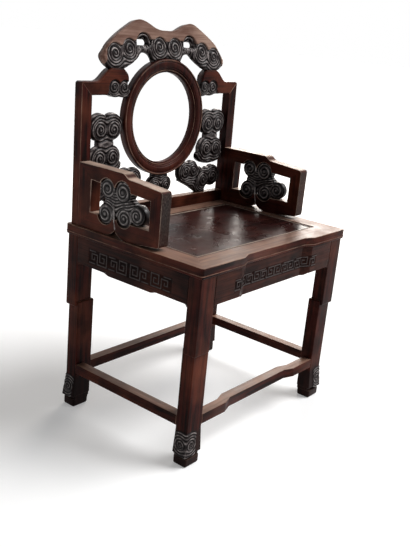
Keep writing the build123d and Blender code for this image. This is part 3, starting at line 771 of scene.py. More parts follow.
@dataclass(frozen=True)
class Polish:
    """Hand-polished rosewood, worn light at its edges and tops, where a highlight and sheen are also painted,
    and dark in its corners with wax and painted shade.

    Attributes:
        name: The finish's name.
        grain: The way the grain runs.
        deep: Colour of the dark streaks.
        body: Main colour.
        warm: Colour of the light streaks.
        worn_and_highlit: Colour of the worn edges and tops, which also paints their highlight and sheen.
        corner: Colour of the dark wax and dust in corners, which also paints the shade there.
        hand_grey: Colour of the fronts that hands have worn grey.
        hand_speck: Colour of the specks on them.
        blackened: Colour of the blackened feet.
        sheen: Roughness of the surface.
        sheen_spread: How far the roughness varies below and above that.
        shift: Moves the figure, so that members differ.
        edge_wear_and_highlight: Share of the worn colour on the edges, worn polish with a painted highlight.
        gloss: Specular level, 0.5 for bare lacquer and less for wax.
        worn_top: Share of the worn colour on faces that look up, worn polish with a painted sheen.
        worn_front: Share of the grey, hand-worn colour on faces that look forward.
        dark_below: Height under which the wood has gone black, in metres.
        dark_share: How black it has gone there.
        dark_fade: Half the height over which that ends, in metres.
        wax_and_shade_reach: How far the dark wax and painted shade of a corner reach, in metres.
        grain_relief: How strongly the grain's small relief shows.
    """

    name: str
    grain: Grain
    deep: Colour = srgb(20, 7, 6)
    body: Colour = srgb(65, 25, 20)
    warm: Colour = srgb(108, 57, 40)
    worn_and_highlit: Colour = srgb(164, 131, 113)
    corner: Colour = srgb(14, 8, 8)
    hand_grey: Colour = srgb(38, 32, 31)
    hand_speck: Colour = srgb(80, 71, 67)
    blackened: Colour = srgb(24, 15, 15)
    sheen: float = 0.36
    sheen_spread: Point = (0.08, 0.12)
    shift: float = 0.0
    edge_wear_and_highlight: float = 0.7
    gloss: float = 0.05
    worn_top: float = 0.75
    worn_front: float = 0.0
    dark_below: float = 0.0
    dark_share: float = 0.8
    dark_fade: float = 0.006
    wax_and_shade_reach: float = 0.02
    grain_relief: float = 0.22

    def draw(self, sheet: NodeSheet, figure: Figure) -> Socket:
        """Lay a figure's noise, along this finish's grain."""
        return figure.raw(sheet, self.grain, self.shift)

    def wood(self, sheet: NodeSheet) -> tuple[Socket, Socket]:
        """Lay the wood's figure.

        Args:
            sheet: Where to lay it.

        Returns:
            The colour, and the height of its pores and grain.
        """
        colour = sheet.blend(STREAKS.share(sheet, self.draw(sheet, STREAKS)), self.deep, self.body)
        colour = sheet.blend(CLOUDS.share(sheet, self.draw(sheet, CLOUDS)), colour, self.warm)
        colour = sheet.blend(GRIME.share(sheet, self.draw(sheet, GRIME)), colour, self.deep)
        lines, pores = self.draw(sheet, LINES), self.draw(sheet, PORES)
        colour = sheet.blend(LINES.share(sheet, lines), colour, self.deep)
        colour = sheet.blend(PORES.share(sheet, pores), colour, self.deep)
        relief = sheet.math("ADD", sheet.math("MULTIPLY", lines, 0.35), sheet.math("MULTIPLY", pores, -0.5))
        return colour, relief

    def material(self) -> Material:
        """Make the material.

        Returns:
            The material, for a plain member.
        """
        sheet = NodeSheet(self.name)
        colour, relief = self.wood(sheet)
        blotch = self.draw(sheet, EDGE_WEAR_AND_HIGHLIGHT)
        # Rounded arrises take the worn colour: worn polish, and a painted highlight along each arris.
        edge = sheet.add("Attribute", attribute_name="rub").outputs["Fac"]
        worn_and_highlit_edge = sheet.math("MULTIPLY", edge, EDGE_WEAR_AND_HIGHLIGHT.share(sheet, blotch, self.edge_wear_and_highlight))
        colour = sheet.blend(worn_and_highlit_edge, colour, self.worn_and_highlit)
        # Faces that look up take it too: worn polish, and a painted sheen where light glances off them.
        colour = sheet.blend(self.top_wear_and_sheen_mask(sheet, blotch), colour, self.worn_and_highlit)
        # Corners darken by ambient occlusion: dark wax and dust, and painted shade.
        colour = sheet.blend(sheet.corners(self.wax_and_shade_reach), colour, self.corner)
        if self.worn_front:
            forward = sheet.between(sheet.part_of("NewGeometry", "Normal", "Y"), -0.8, -0.97, 0.0,
                                    self.worn_front)
            specks = SPECKLE.share(sheet, self.draw(sheet, SPECKLE))
            colour = sheet.blend(forward, colour, sheet.blend(specks, self.hand_grey, self.hand_speck))
        if self.dark_below:
            low = sheet.between(sheet.part_of("TexCoord", "Object", "Z"), self.dark_below - self.dark_fade,
                                self.dark_below + self.dark_fade, self.dark_share, 0.0)
            colour = sheet.blend(low, colour, self.blackened)
        sheet.shader.inputs["Specular IOR Level"].default_value = self.gloss
        self.lay(sheet, colour, relief, blotch)
        return sheet.material

    def top_wear_and_sheen_mask(self, sheet: NodeSheet, blotch: Socket) -> Socket:
        """Find the faces that look up, where arms and cloths thin the polish and a painted sheen lies.

        Args:
            sheet: Where to lay it.
            blotch: Noise that breaks the worn colour and painted sheen up.

        Returns:
            The share of the worn colour, with its painted sheen.
        """
        looks_up = sheet.between(sheet.part_of("NewGeometry", "Normal", "Z"), 0.8, 0.97)
        streaked = TOP_STREAKS.share(sheet, self.draw(sheet, TOP_STREAKS))
        worn = TOP_WEAR_AND_SHEEN.share(sheet, blotch, self.worn_top)
        return sheet.math("MULTIPLY", looks_up, sheet.math("MULTIPLY", streaked, worn))

    def lay(self, sheet: NodeSheet, colour: Socket, relief: Socket, blotch: Socket) -> None:
        """Lay colour, roughness and the small relief of the grain on the shader.

        Args:
            sheet: The material's nodes.
            colour: The finished colour.
            relief: Height of the grain.
            blotch: Noise that breaks the sheen up.
        """
        below, above = self.sheen_spread
        sheet.link(colour, sheet.shader.inputs["Base Color"])
        sheet.link(sheet.between(blotch, 0.3, 0.7, self.sheen - below, self.sheen + above),
                   sheet.shader.inputs["Roughness"])
        bump = sheet.add("Bump", Strength=self.grain_relief, Distance=0.0006)
        sheet.link(relief, bump.inputs["Height"])
        sheet.link(bump.outputs["Normal"], sheet.shader.inputs["Normal"])


@dataclass(frozen=True)
class CarvedPolish(Polish):
    """Dark carved rosewood: black in its grooves with wax and painted shade, grey on its crowns with wiping
    and a painted highlight, plain wood where plain.

    Attributes:
        groove: Colour of the grooves: dark wax, and painted shade.
        band: Colour of the bands.
        crown: Colour of the wiped crowns, which also paints their highlight.
        carved_gloss: Specular level on the bands.
    """

    groove: Colour = srgb(3, 2, 2)
    band: Colour = srgb(36, 27, 27)
    crown: Colour = srgb(182, 171, 168)
    corner: Colour = srgb(6, 4, 4)
    sheen_spread: Point = (0.06, 0.14)
    carved_gloss: float = 0.2
    wax_and_shade_reach: float = 0.009
    grain_relief: float = 0.2

    def material(self) -> Material:
        """Make the material.

        Returns:
            The material, for a carved board with its relief and plain layers.
        """
        sheet = NodeSheet(self.name)
        plain_colour, relief = self.wood(sheet)
        height = sheet.add("Attribute", attribute_name="relief").outputs["Fac"]
        plain = sheet.add("Attribute", attribute_name="plain").outputs["Fac"]
        # Low parts of the relief are painted darker: dark wax, and painted shade in the hollows.
        carved = sheet.blend(sheet.between(height, 0.25, 0.85), self.groove, self.band)
        # Crowns that face up take the crown colour: wiping, and a painted highlight.
        carved = sheet.blend(self.wiped_and_highlight_mask(sheet, height), carved, self.crown)
        colour = sheet.blend(plain, carved, plain_colour)
        # Corners darken by ambient occlusion: dark wax, and painted shade.
        colour = sheet.blend(sheet.corners(self.wax_and_shade_reach), colour, self.corner)
        lacquer = sheet.math("MULTIPLY", sheet.between(height, 0.1, 0.8), self.carved_gloss)
        gloss = sheet.add("Mix", data_type="FLOAT")
        sheet.fill([(gloss.inputs[0], plain), (gloss.inputs[2], lacquer), (gloss.inputs[3], self.gloss)])
        sheet.link(gloss.outputs[0], sheet.shader.inputs["Specular IOR Level"])
        self.lay(sheet, colour, relief, self.draw(sheet, CARVED_BLOTCH))
        return sheet.material

    def wiped_and_highlight_mask(self, sheet: NodeSheet, height: Socket) -> Socket:
        """Find the crowns of the carving that a cloth wipes, lighter where they face up as a painted
        highlight.

        Args:
            sheet: Where to lay it.
            height: Height of the carving, 0 to 1.

        Returns:
            The share of the crown's colour, wiping with a painted highlight.
        """
        upper = sheet.between(sheet.part_of("NewGeometry", "Normal", "Z"), -0.35, 0.55, 0.3, 1.0)
        patches = WIPED_PATCHES.share(sheet, self.draw(sheet, WIPED_PATCHES))
        crowns = sheet.math("MULTIPLY", sheet.between(height, 0.87, 0.99), patches)
        return sheet.math("MULTIPLY", crowns, upper)


class Slot(Enum):
    """Kinds of finish, which fit_piece takes and does not use."""

    PLAIN = "rosewood"
    CARVED = "rosewood_carved"
    PANEL = "rosewood_panel"


def fit_piece(piece: Object, finish: Material, kind: Slot, *nodes: str) -> None:
    """Give a piece its finish and set it in the chair in place of the joiner's solid.

    Args:
        piece: The piece.
        finish: Its material.
        kind: Not used.
        nodes: The solids that it stands for.
    """
    piece.data.materials.append(finish)
    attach(piece, "root")
    if nodes:
        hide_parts(*nodes)
    LOG.info("%s: %d faces", piece.name, len(piece.data.polygons))


# ------------------------------------------------------------------ plain members
@dataclass
class PlainMembers:
    """The plain members: seat, legs, stretchers, posts and arm frames.

    Attributes:
        edge: How far an arris is rounded.
        edge_pieces: Facets round an arris.
        crease: Least angle of an arris, in radians.
        flat: Greatest angle between two faces that are one, in radians.
        touch: A corner nearer than this to another member belongs to a joint and stays sharp.
        samples: Where along an edge its distance from other members is taken.
        foot_top: Height of the blackened feet, in metres.
        stile_front: How grey the front faces of the arms have worn, 0 to 1.
        arm_worn_and_highlit: Colour of the arms' worn tops and edges, also their painted sheen and
            highlights.
        shift_step: Moves the figure from one kind of member to the next.
        left_out: Members that are carved or turned.
    """

    edge: float = 1.2
    edge_pieces: int = 2
    crease: float = 0.5
    flat: float = 0.01
    touch: float = 0.7
    samples: tuple[float, ...] = (0.03, 0.5, 0.97)
    foot_top: float = 0.092
    stile_front: float = 0.75
    arm_worn_and_highlit: Colour = srgb(208, 182, 164)
    shift_step: float = 1.7
    left_out: tuple[str, ...] = ("crest", "shoulder", "cloud", "arm_cloud", "apron", "roundel")

    @staticmethod
    def grain_of(name: str) -> Grain:
        """Return the way a member's grain runs.

        Args:
            name: The member's name.

        Returns:
            The grain's way.
        """
        if name.startswith(("leg", "post", "arm_rear", "arm_front")):
            return Grain.UP
        if name.startswith(("arm", "seat_rail_left", "seat_rail_right", "stretcher_left", "stretcher_right",
                            "seat_batten")):
            return Grain.DEEP
        return Grain.ACROSS

    def neighbours(self, name: str) -> BVHTree:
        """Gather the members that a member touches.

        Args:
            name: The member's name.

        Returns:
            A tree of all their faces.
        """
        low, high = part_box(name)
        reach = self.touch * MM
        places: list[Vector] = []
        faces: list[list[int]] = []
        for other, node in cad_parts.items():
            other_low, other_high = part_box(other)
            apart = any(other_low[axis] - reach > high[axis] or other_high[axis] + reach < low[axis]
                        for axis in range(3))
            if other == name or apart:
                continue
            start = len(places)
            places += [vertex.co.copy() for vertex in node.data.vertices]
            faces += [[start + index for index in face.vertices] for face in node.data.polygons]
        return BVHTree.FromPolygons(places, faces)

    def is_arris(self, edge: bmesh.types.BMEdge, beside: BVHTree) -> bool:
        """Say whether an edge is open to hand and cloth, and not part of a joint.

        Args:
            edge: The edge.
            beside: The members beside it.

        Returns:
            True for an open edge.
        """
        if len(edge.link_faces) != 2 or edge.calc_face_angle(0.0) < self.crease or not edge.is_convex:
            return False
        start, end = (vertex.co for vertex in edge.verts)
        gaps = [beside.find_nearest(start.lerp(end, share))[3] for share in self.samples]
        return sum(gap is not None and gap < self.touch * MM for gap in gaps) < 2

    def eased(self, name: str, node: Object) -> Object:
        """Make a member's worked form, with its open edges rounded and its joints left tight.

        Args:
            name: The member's name.
            node: The joiner's solid.

        Returns:
            The member.
        """
        form = bmesh.new()
        form.from_mesh(node.data)
        bmesh.ops.remove_doubles(form, verts=form.verts, dist=0.00001)
        bmesh.ops.dissolve_limit(form, angle_limit=self.flat, verts=form.verts, edges=form.edges)
        rub = form.faces.layers.float.new("rub")
        beside = self.neighbours(name)
        edges = [edge for edge in form.edges if self.is_arris(edge, beside)]
        rounded = bmesh.ops.bevel(form, geom=edges, offset=self.edge * MM, segments=self.edge_pieces,
                                  profile=0.5, affect="EDGES", clamp_overlap=False)
        # Rounded arrises are marked for the worn colour and its painted highlight.
        for face in rounded["faces"]:
            face[rub] = 1.0
        for face in form.faces:
            face.smooth = True
        for edge in form.edges:
            worn = {face[rub] for face in edge.link_faces}
            edge.smooth = edge.calc_face_angle(0.0) < self.crease and len(worn) == 1
        mesh = bpy.data.meshes.new(f"plain_{name}")
        form.to_mesh(mesh)
        form.free()
        return set_in_scene(f"plain_{name}", mesh)

    def finish_for(self, name: str) -> Polish:
        """Return a member's finish.

        Args:
            name: The member's name.

        Returns:
            The finish, the same for members of one kind, grain and wear.
        """
        if name == "seat_panel":
            return Polish("seat_panel_polish", Grain.ACROSS, deep=srgb(22, 10, 9), body=srgb(46, 20, 18),
                          warm=srgb(78, 42, 35), sheen=0.29, gloss=0.08, worn_top=0.0)
        grain = self.grain_of(name)
        kind = name.split("_")[0]
        worn = name.startswith("arm_front")
        title = "_".join(["rosewood", kind, grain.name.lower(), *["worn"] * worn])
        return Polish(title, grain, shift=self.shift_step * len(kind),
                      worn_and_highlit=self.arm_worn_and_highlit if kind == "arm" else Polish.worn_and_highlit,
                      worn_front=self.stile_front if worn else 0.0,
                      dark_below=self.foot_top if kind == "leg" else 0.0)

    def dress(self) -> None:
        """Round every member's open edges and give it its finish."""
        made: dict[str, Material] = {}
        for name, node in sorted(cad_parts.items()):
            if name.startswith(self.left_out):
                continue
            finish = self.finish_for(name)
            if finish.name not in made:
                made[finish.name] = finish.material()
            slot = Slot.PANEL if name == "seat_panel" else Slot.PLAIN
            fit_piece(self.eased(name, node), made[finish.name], slot, name)


@dataclass
class Bead:
    """A thin bead that runs level round the seat.

    Attributes:
        name: Its name.
        path: Its corners seen from above, counter-clockwise.
        level: Its height above the floor.
        profile: Outward and up, once round its section.
    """

    name: str
    path: list[Point]
    level: float
    profile: tuple[Point, ...]

    def build(self, finish: Material) -> None:
        """Make the bead, mitred at its corners.

        Args:
            finish: Its finish.
        """
        corners = np.array(self.path, float)
        ahead = np.roll(corners, -1, axis=0) - corners
        ahead /= np.hypot(ahead[:, 0], ahead[:, 1])[:, None]
        outward = np.stack([ahead[:, 1], -ahead[:, 0]], axis=1)
        mitre = outward + np.roll(outward, 1, axis=0)
        mitre /= (1 + (outward * np.roll(outward, 1, axis=0)).sum(axis=1))[:, None]
        places = np.array([(*(corner + way * out), self.level + up)
                           for corner, way in zip(corners, mitre) for out, up in self.profile])
        count, turns = len(self.profile), len(corners)
        faces = [[row * count + spot, (row + 1) % turns * count + spot,
                  (row + 1) % turns * count + (spot + 1) % count, row * count + (spot + 1) % count]
                 for row in range(turns) for spot in range(count)]
        # The whole bead takes the worn colour: worn polish, and a painted highlight line.
        fit_piece(make_piece(self.name, places, faces, rub=np.ones(len(places))), finish, Slot.PLAIN)


@dataclass
class SeatBeads:
    """The bead on the seat panel along its frame, painted light as a highlight line, and the one round the
    frame's outer edge.

    Attributes:
        side_rail: Width of the frame's side members.
        front_rail: Width of its front member.
        back_rail: Width of its rear member.
        inset: From the frame to the middle of the panel's bead.
        drop: The panel's top below the frame's.
        edge_drop: Middle of the outer bead below the frame's top.
        corner: Radius of the frame's outer corners.
        corner_pieces: Facets round such a corner.
        bay: Half length of the front's middle part, length of the slope beside it, and its depth.
        panel_profile: Section of the panel's bead.
        edge_profile: Section of the frame's bead.
    """

    side_rail: float = 60.0
    front_rail: float = 67.0
    back_rail: float = 77.0
    inset: float = 7.0
    drop: float = 2.0
    edge_drop: float = 19.5
    corner: float = 5.1
    corner_pieces: int = 3
    bay: tuple[float, float, float] = (130.0, 30.0, 13.0)
    panel_profile: tuple[Point, ...] = (
        (1.9, -0.3), (1.7, 0.6), (0.8, 1.2), (-0.8, 1.2), (-1.7, 0.6), (-1.9, -0.3))
    edge_profile: tuple[Point, ...] = ((-0.6, -1.3), (0.5, -0.9), (0.9, 0.0), (0.5, 0.9), (-0.6, 1.3))

    def outer_path(self) -> list[Point]:
        """Return the frame's outer edge.

        Returns:
            Its corners, with the bay of the front and the rounding of the frame's corners.
        """
        half, front, rear, corner = CHAIR.half_width, CHAIR.front_y, CHAIR.rear_y, self.corner
        middle, slope, depth = self.bay
        path: list[Point] = [(-middle - slope, front), (-middle, front + depth), (middle, front + depth),
                             (middle + slope, front)]
        for x, y, start in ((half - corner, front + corner, -90), (half - corner, rear - corner, 0),
                            (corner - half, rear - corner, 90), (corner - half, front + corner, 180)):
            for turn in range(self.corner_pieces + 1):
                angle = math.radians(start + 90 / self.corner_pieces * turn)
                path.append((x + corner * math.cos(angle), y + corner * math.sin(angle)))
        return path

    def build(self) -> None:
        """Make the two beads."""
        # The panel's bead is painted in light colours: a painted highlight along it.
        inner = Polish("panel_bead_polish", Grain.ACROSS, deep=srgb(92, 76, 66), body=srgb(136, 118, 106),
                       warm=srgb(166, 148, 134), worn_and_highlit=srgb(172, 154, 140)).material()
        outer = Polish("edge_bead_polish", Grain.ACROSS, edge_wear_and_highlight=0.5, worn_top=0.0).material()
        half = CHAIR.half_width - self.side_rail - self.inset
        front = CHAIR.front_y + self.front_rail + self.inset
        rear = CHAIR.rear_y - self.back_rail - self.inset
        Bead("seat_panel_bead", [(-half, front), (half, front), (half, rear), (-half, rear)],
             CHAIR.seat_top - self.drop, self.panel_profile).build(inner)
        Bead("seat_edge_bead", self.outer_path(), CHAIR.seat_top - self.edge_drop,
             self.edge_profile).build(outer)


# ------------------------------------------------------------------ roundel
@dataclass
class Roundel:
    """The round frame: four turned and mitred arcs with their mouldings.

    Attributes:
        radius: Outer radius.
        bore: Inner radius.
        depth: Depth from the front of its bead to its rear.
        front_line: Radius and level of the mouldings, from the outer edge inward.
        worn_and_highlit_points: Points of the mouldings that are worn and painted with highlight lines, with
            their share.
        end_without_wear_or_highlight: Share of half an arc, at its mitres, without worn colour or painted
            highlight.
        steps: Facets in a quarter.
    """

    radius: float = CHAIR.ring_outer
    bore: float = 123.5
    depth: float = 23.0
    front_line: tuple[Point, ...] = (
        (159.0, -2.4), (158.4, -1.0), (157.0, -0.3), (155.2, -0.2), (153.9, -1.0), (153.4, -2.9),
        (152.6, -2.2), (151.4, -1.5), (148.0, -0.7), (144.0, -0.5), (140.0, -0.9), (137.2, -1.7),
        (136.5, -3.4), (135.8, -2.4), (134.6, -2.3), (133.6, -3.4), (132.8, -6.0), (131.6, -6.4),
        (130.2, -4.9), (128.8, -4.9), (127.9, -6.2), (127.3, -8.8), (126.0, -9.0), (124.9, -7.6),
        (123.9, -7.7), (123.5, -8.8),
    )
    worn_and_highlit_points: tuple[tuple[int, float], ...] = ((2, 0.5), (3, 0.5), (18, 0.45), (19, 0.45))
    end_without_wear_or_highlight: float = 0.01
    steps: int = 40

    def arc(self, name: str, start: float, end: float) -> Object:
        """Turn one arc.

        Args:
            name: Its name.
            start: Where it starts, in degrees from the right.
            end: Where it ends.

        Returns:
            The arc.
        """
        profile = [*self.front_line, (self.bore, -self.depth), (self.radius, -self.depth)]
        radii, levels = (np.array(values) for values in zip(*profile))
        angles = np.radians(np.linspace(start, end, self.steps + 1))
        across = np.outer(np.cos(angles), radii).ravel()
        up = np.outer(np.sin(angles), radii).ravel() + CHAIR.ring_centre
        count, last = len(profile), self.steps * len(profile)
        faces = [[row * count + spot, row * count + (spot + 1) % count,
                  (row + 1) * count + (spot + 1) % count, (row + 1) * count + spot]
                 for row in range(self.steps) for spot in range(count)]
        faces += [list(reversed(range(count))), [last + spot for spot in range(count)]]
        # Lines on the mouldings take the worn colour: worn polish, and painted highlight lines.
        worn_and_highlit = np.zeros(count)
        for spot, share in self.worn_and_highlit_points:
            worn_and_highlit[spot] = share
        open_part = np.abs(np.linspace(-1, 1, len(angles))) < 1 - self.end_without_wear_or_highlight
        made = make_piece(name, BACK_PLANE.place(across, up, np.tile(levels, len(angles))), faces,
                          rub=np.tile(worn_and_highlit, len(angles)) * np.repeat(open_part, count))
        made.data.polygons.foreach_set("use_smooth", [True] * (len(faces) - 2) + [False] * 2)
        for edge in made.data.edges:
            edge.use_edge_sharp = max(edge.vertices) < count or min(edge.vertices) >= last
        return made

    def build(self) -> None:
        """Make the four arcs, of one finish."""
        # The mouldings' worn colour and painted highlight lines show at full share.
        finish = Polish("roundel_polish", Grain.UP, deep=srgb(28, 11, 10), body=srgb(62, 27, 22),
                        warm=srgb(92, 46, 35), worn_top=0.0, edge_wear_and_highlight=1.0).material()
        for spot, title in enumerate(("upper", "left", "lower", "right")):
            start = 45.0 + 90.0 * spot
            fit_piece(self.arc(f"turned_roundel_{title}", start, start + 90.0), finish, Slot.PLAIN,
                      f"roundel_{title}")


# ------------------------------------------------------------------ crest
@dataclass
class Crest:
    """The carved crest: a plain wavy plank above a sunk field of three pairs of scrolls.

    Attributes:
        depth: Its thickness.
        sink: How deep the field is sunk.
        ground: Further depth of the field's grooves.
        relief: Height of the bands over the grooves.
        swelling: Height of the scrolls' discs over their edges.
        pillow: Radius of the carved parts' edges.
        bead_in: From the plank's edge to the bead's line.
        bead_deep: Depth of that line.
        bead_half: Half its width.
        top_line: Upper outline, from the middle to the right.
        low_line: Lower outline, from the right to the middle.
        field_line: Upper edge of the sunk field.
        hole: Centre of a piercing, its half length and its radius.
        round_field: Radius of the sunk field round a scroll.
        arch: Centre and radius of the arch over a piercing.
        lip: How far in from the arch its lip lies, the lip's half width, and its added height.
        groove: Half width of the groove along the lip, and its depth.
        bridge: How far in from the edge the bridge under a piercing lies, and its half width.
        ends: Places across between which the plank turns into its carved end.
        end_round: Radius of that end's edge.
    """

    depth: float = 22.0
    sink: float = 5.5
    ground: float = 0.8
    relief: float = 2.4
    swelling: float = 2.4
    pillow: float = 9.0
    bead_in: float = 4.5
    bead_deep: float = 0.8
    bead_half: float = 0.9
    top_line: tuple[Point, ...] = (
        (0.0, 86.5), (24.0, 87.0), (45.0, 92.0), (62.0, 99.5), (80.0, 106.5), (100.0, 110.3),
        (117.0, 107.5), (134.0, 99.5), (150.0, 91.0), (168.0, 81.0), (186.0, 70.2), (203.0, 58.5),
        (218.0, 46.2), (232.0, 30.5), (241.5, 17.0), (242.6, 8.0), (238.0, -1.0), (231.0, -8.5),
        (222.0, -13.8), (210.0, -15.6),
    )
    low_line: tuple[Point, ...] = (
        (166.0, -15.6), (145.0, -7.0), (127.0, 2.5), (111.0, 14.0), (101.0, 24.0), (93.0, 27.5),
        (82.0, 27.0), (71.0, 23.5), (61.0, 14.0), (56.0, 2.0),
    )
    field_line: tuple[Point, ...] = (
        (0.0, 58.0), (58.0, 63.0), (121.0, 58.5), (174.0, 44.0), (221.0, 39.0), (228.0, 31.0),
        (231.0, 18.0), (231.0, 6.0), (237.0, -5.0), (258.0, -12.0), (258.0, -40.0),
    )
    hole: tuple[float, float, float, float] = (93.0, 54.5, 20.5, 7.8)
    round_field: float = 27.5
    arch: tuple[float, float, float] = (92.0, 49.0, 30.0)
    lip: tuple[float, float, float] = (6.5, 3.6, 0.8)
    groove: Point = (6.4, 2.0)
    bridge: Point = (10.5, 3.0)
    ends: Point = (185.0, 215.0)
    end_round: float = 9.0

    def carving(self) -> CloudRelief:
        """Return its carving.

        Returns:
            The six scrolls and the bands round them.
        """
        made = []
        for side in (-1, 1):
            for across, up, way in ((30.5, 42.5, -1), (146.0, 34.5, 1), (198.0, 22.5, -1)):
                made.append(Scroll(side * across, up, 19.0, spin=side * way, entry=90 + side * way * 90,
                                   bands=2.0))
        return CloudRelief(tuple(made), band=7.6, melt=5.0)

    def outline(self, u: Array, v: Array) -> Array:
        """Return the plank's outline, with its two piercings and its seat on the roundel.

        Args:
            u: Places across.
            v: Places up.

        Returns:
            Signed distances.
        """
        half = [*curve_through(self.top_line), *curve_through(self.low_line)]
        plank = polygon([*half, *mirrored(half)])(u, v)
        centre, level, reach, radius = self.hole
        along = np.clip(np.abs(u), centre - reach + radius, centre + reach - radius)
        holes = np.hypot(np.abs(u) - along, v - level) - radius
        points = CREST_PLANE.place(u.ravel(), v.ravel(), np.zeros(u.size)) - np.array(BACK_PLANE.origin)
        rise = (points @ np.array(BACK_PLANE.up)).reshape(u.shape) - CHAIR.ring_centre
        roundel = CHAIR.ring_outer + CHAIR.fit - np.hypot(u, rise)
        return np.maximum.reduce([plank, -holes, roundel])

    def front(self, u: Array, v: Array) -> Surface:
        """Return the carved front.

        Args:
            u: Places across.
            v: Places up.

        Returns:
            The surface.
        """
        carving = self.carving()
        at, level, radius = self.arch
        lip_in, lip_half, lip_high = self.lip
        groove_half, groove_deep = self.groove
        bridge_in, bridge_half = self.bridge
        line = [*self.field_line, *mirrored(self.field_line)]
        rounds = [circle(s.across, s.up, self.round_field) for s in carving.scrolls]
        arches = [circle(side * at, level, radius) for side in (-1, 1)]
        sunk = 1 - ease(-1.6, 0.0, joined(polygon(line), *rounds, *arches)(u, v))
        beyond = carving.around(u, v)
        upper = ease(level - 8.0, level + 4.0, v) * ease(-1.0, 2.5, beyond)
        from_lip = np.hypot(np.abs(u) - at, v - level) - radius + lip_in
        lip = ridge(from_lip, lip_half) * upper
        groove = (np.abs(from_lip) < groove_half) * upper * (1 - lip)
        away = self.outline(u, v)
        inside_arch = (np.abs(np.abs(u) - at) < radius) * ease(0.0, 3.0, beyond)
        bridge = ridge(away + bridge_in, bridge_half) * inside_arch * (1 - upper)
        height = np.maximum(carving.height(u, v) * (1 - 0.9 * groove), np.maximum(lip, bridge))
        deep = (self.sink + self.ground - self.relief * height - self.swelling * carving.swell(u, v)
                - lip_high * lip + groove_deep * groove)
        end = ease(*self.ends, np.abs(u))
        pillow = Board.fall(away, self.pillow) * np.maximum(sunk, end * (1 - ease(30.0, 62.0, v)))
        rounded_off = 1 - end * ease(-8.0, 8.0, v) * (1 - ease(1.0, self.end_round, -away))
        bead = np.exp(-((away + self.bead_in) / self.bead_half) ** 2) * (1 - sunk) * (1 - end)
        return Surface(-sunk * deep * rounded_off - pillow - self.bead_deep * bead,
                       np.where(sunk > 0.5, height, 1 - 0.9 * bead), 1 - sunk)

    def build(self, finish: Material) -> None:
        """Make the crest.

        Args:
            finish: Its finish.
        """
        slip = self.depth * math.sin(math.radians(CHAIR.crest_tilt - CHAIR.back_rake))
        board = Board("carved_crest", (-246, 246, -18, 113), self.outline, self.front,
                      even_side(-self.depth), CREST_PLANE.place, step=1.15, edge_round=1.8, rear_round=1.6,
                      rear_slip=lambda u, v: slip * (1 - ease(14.0, 36.0, v)))
        fit_piece(board.build(), finish, Slot.CARVED, "crest")


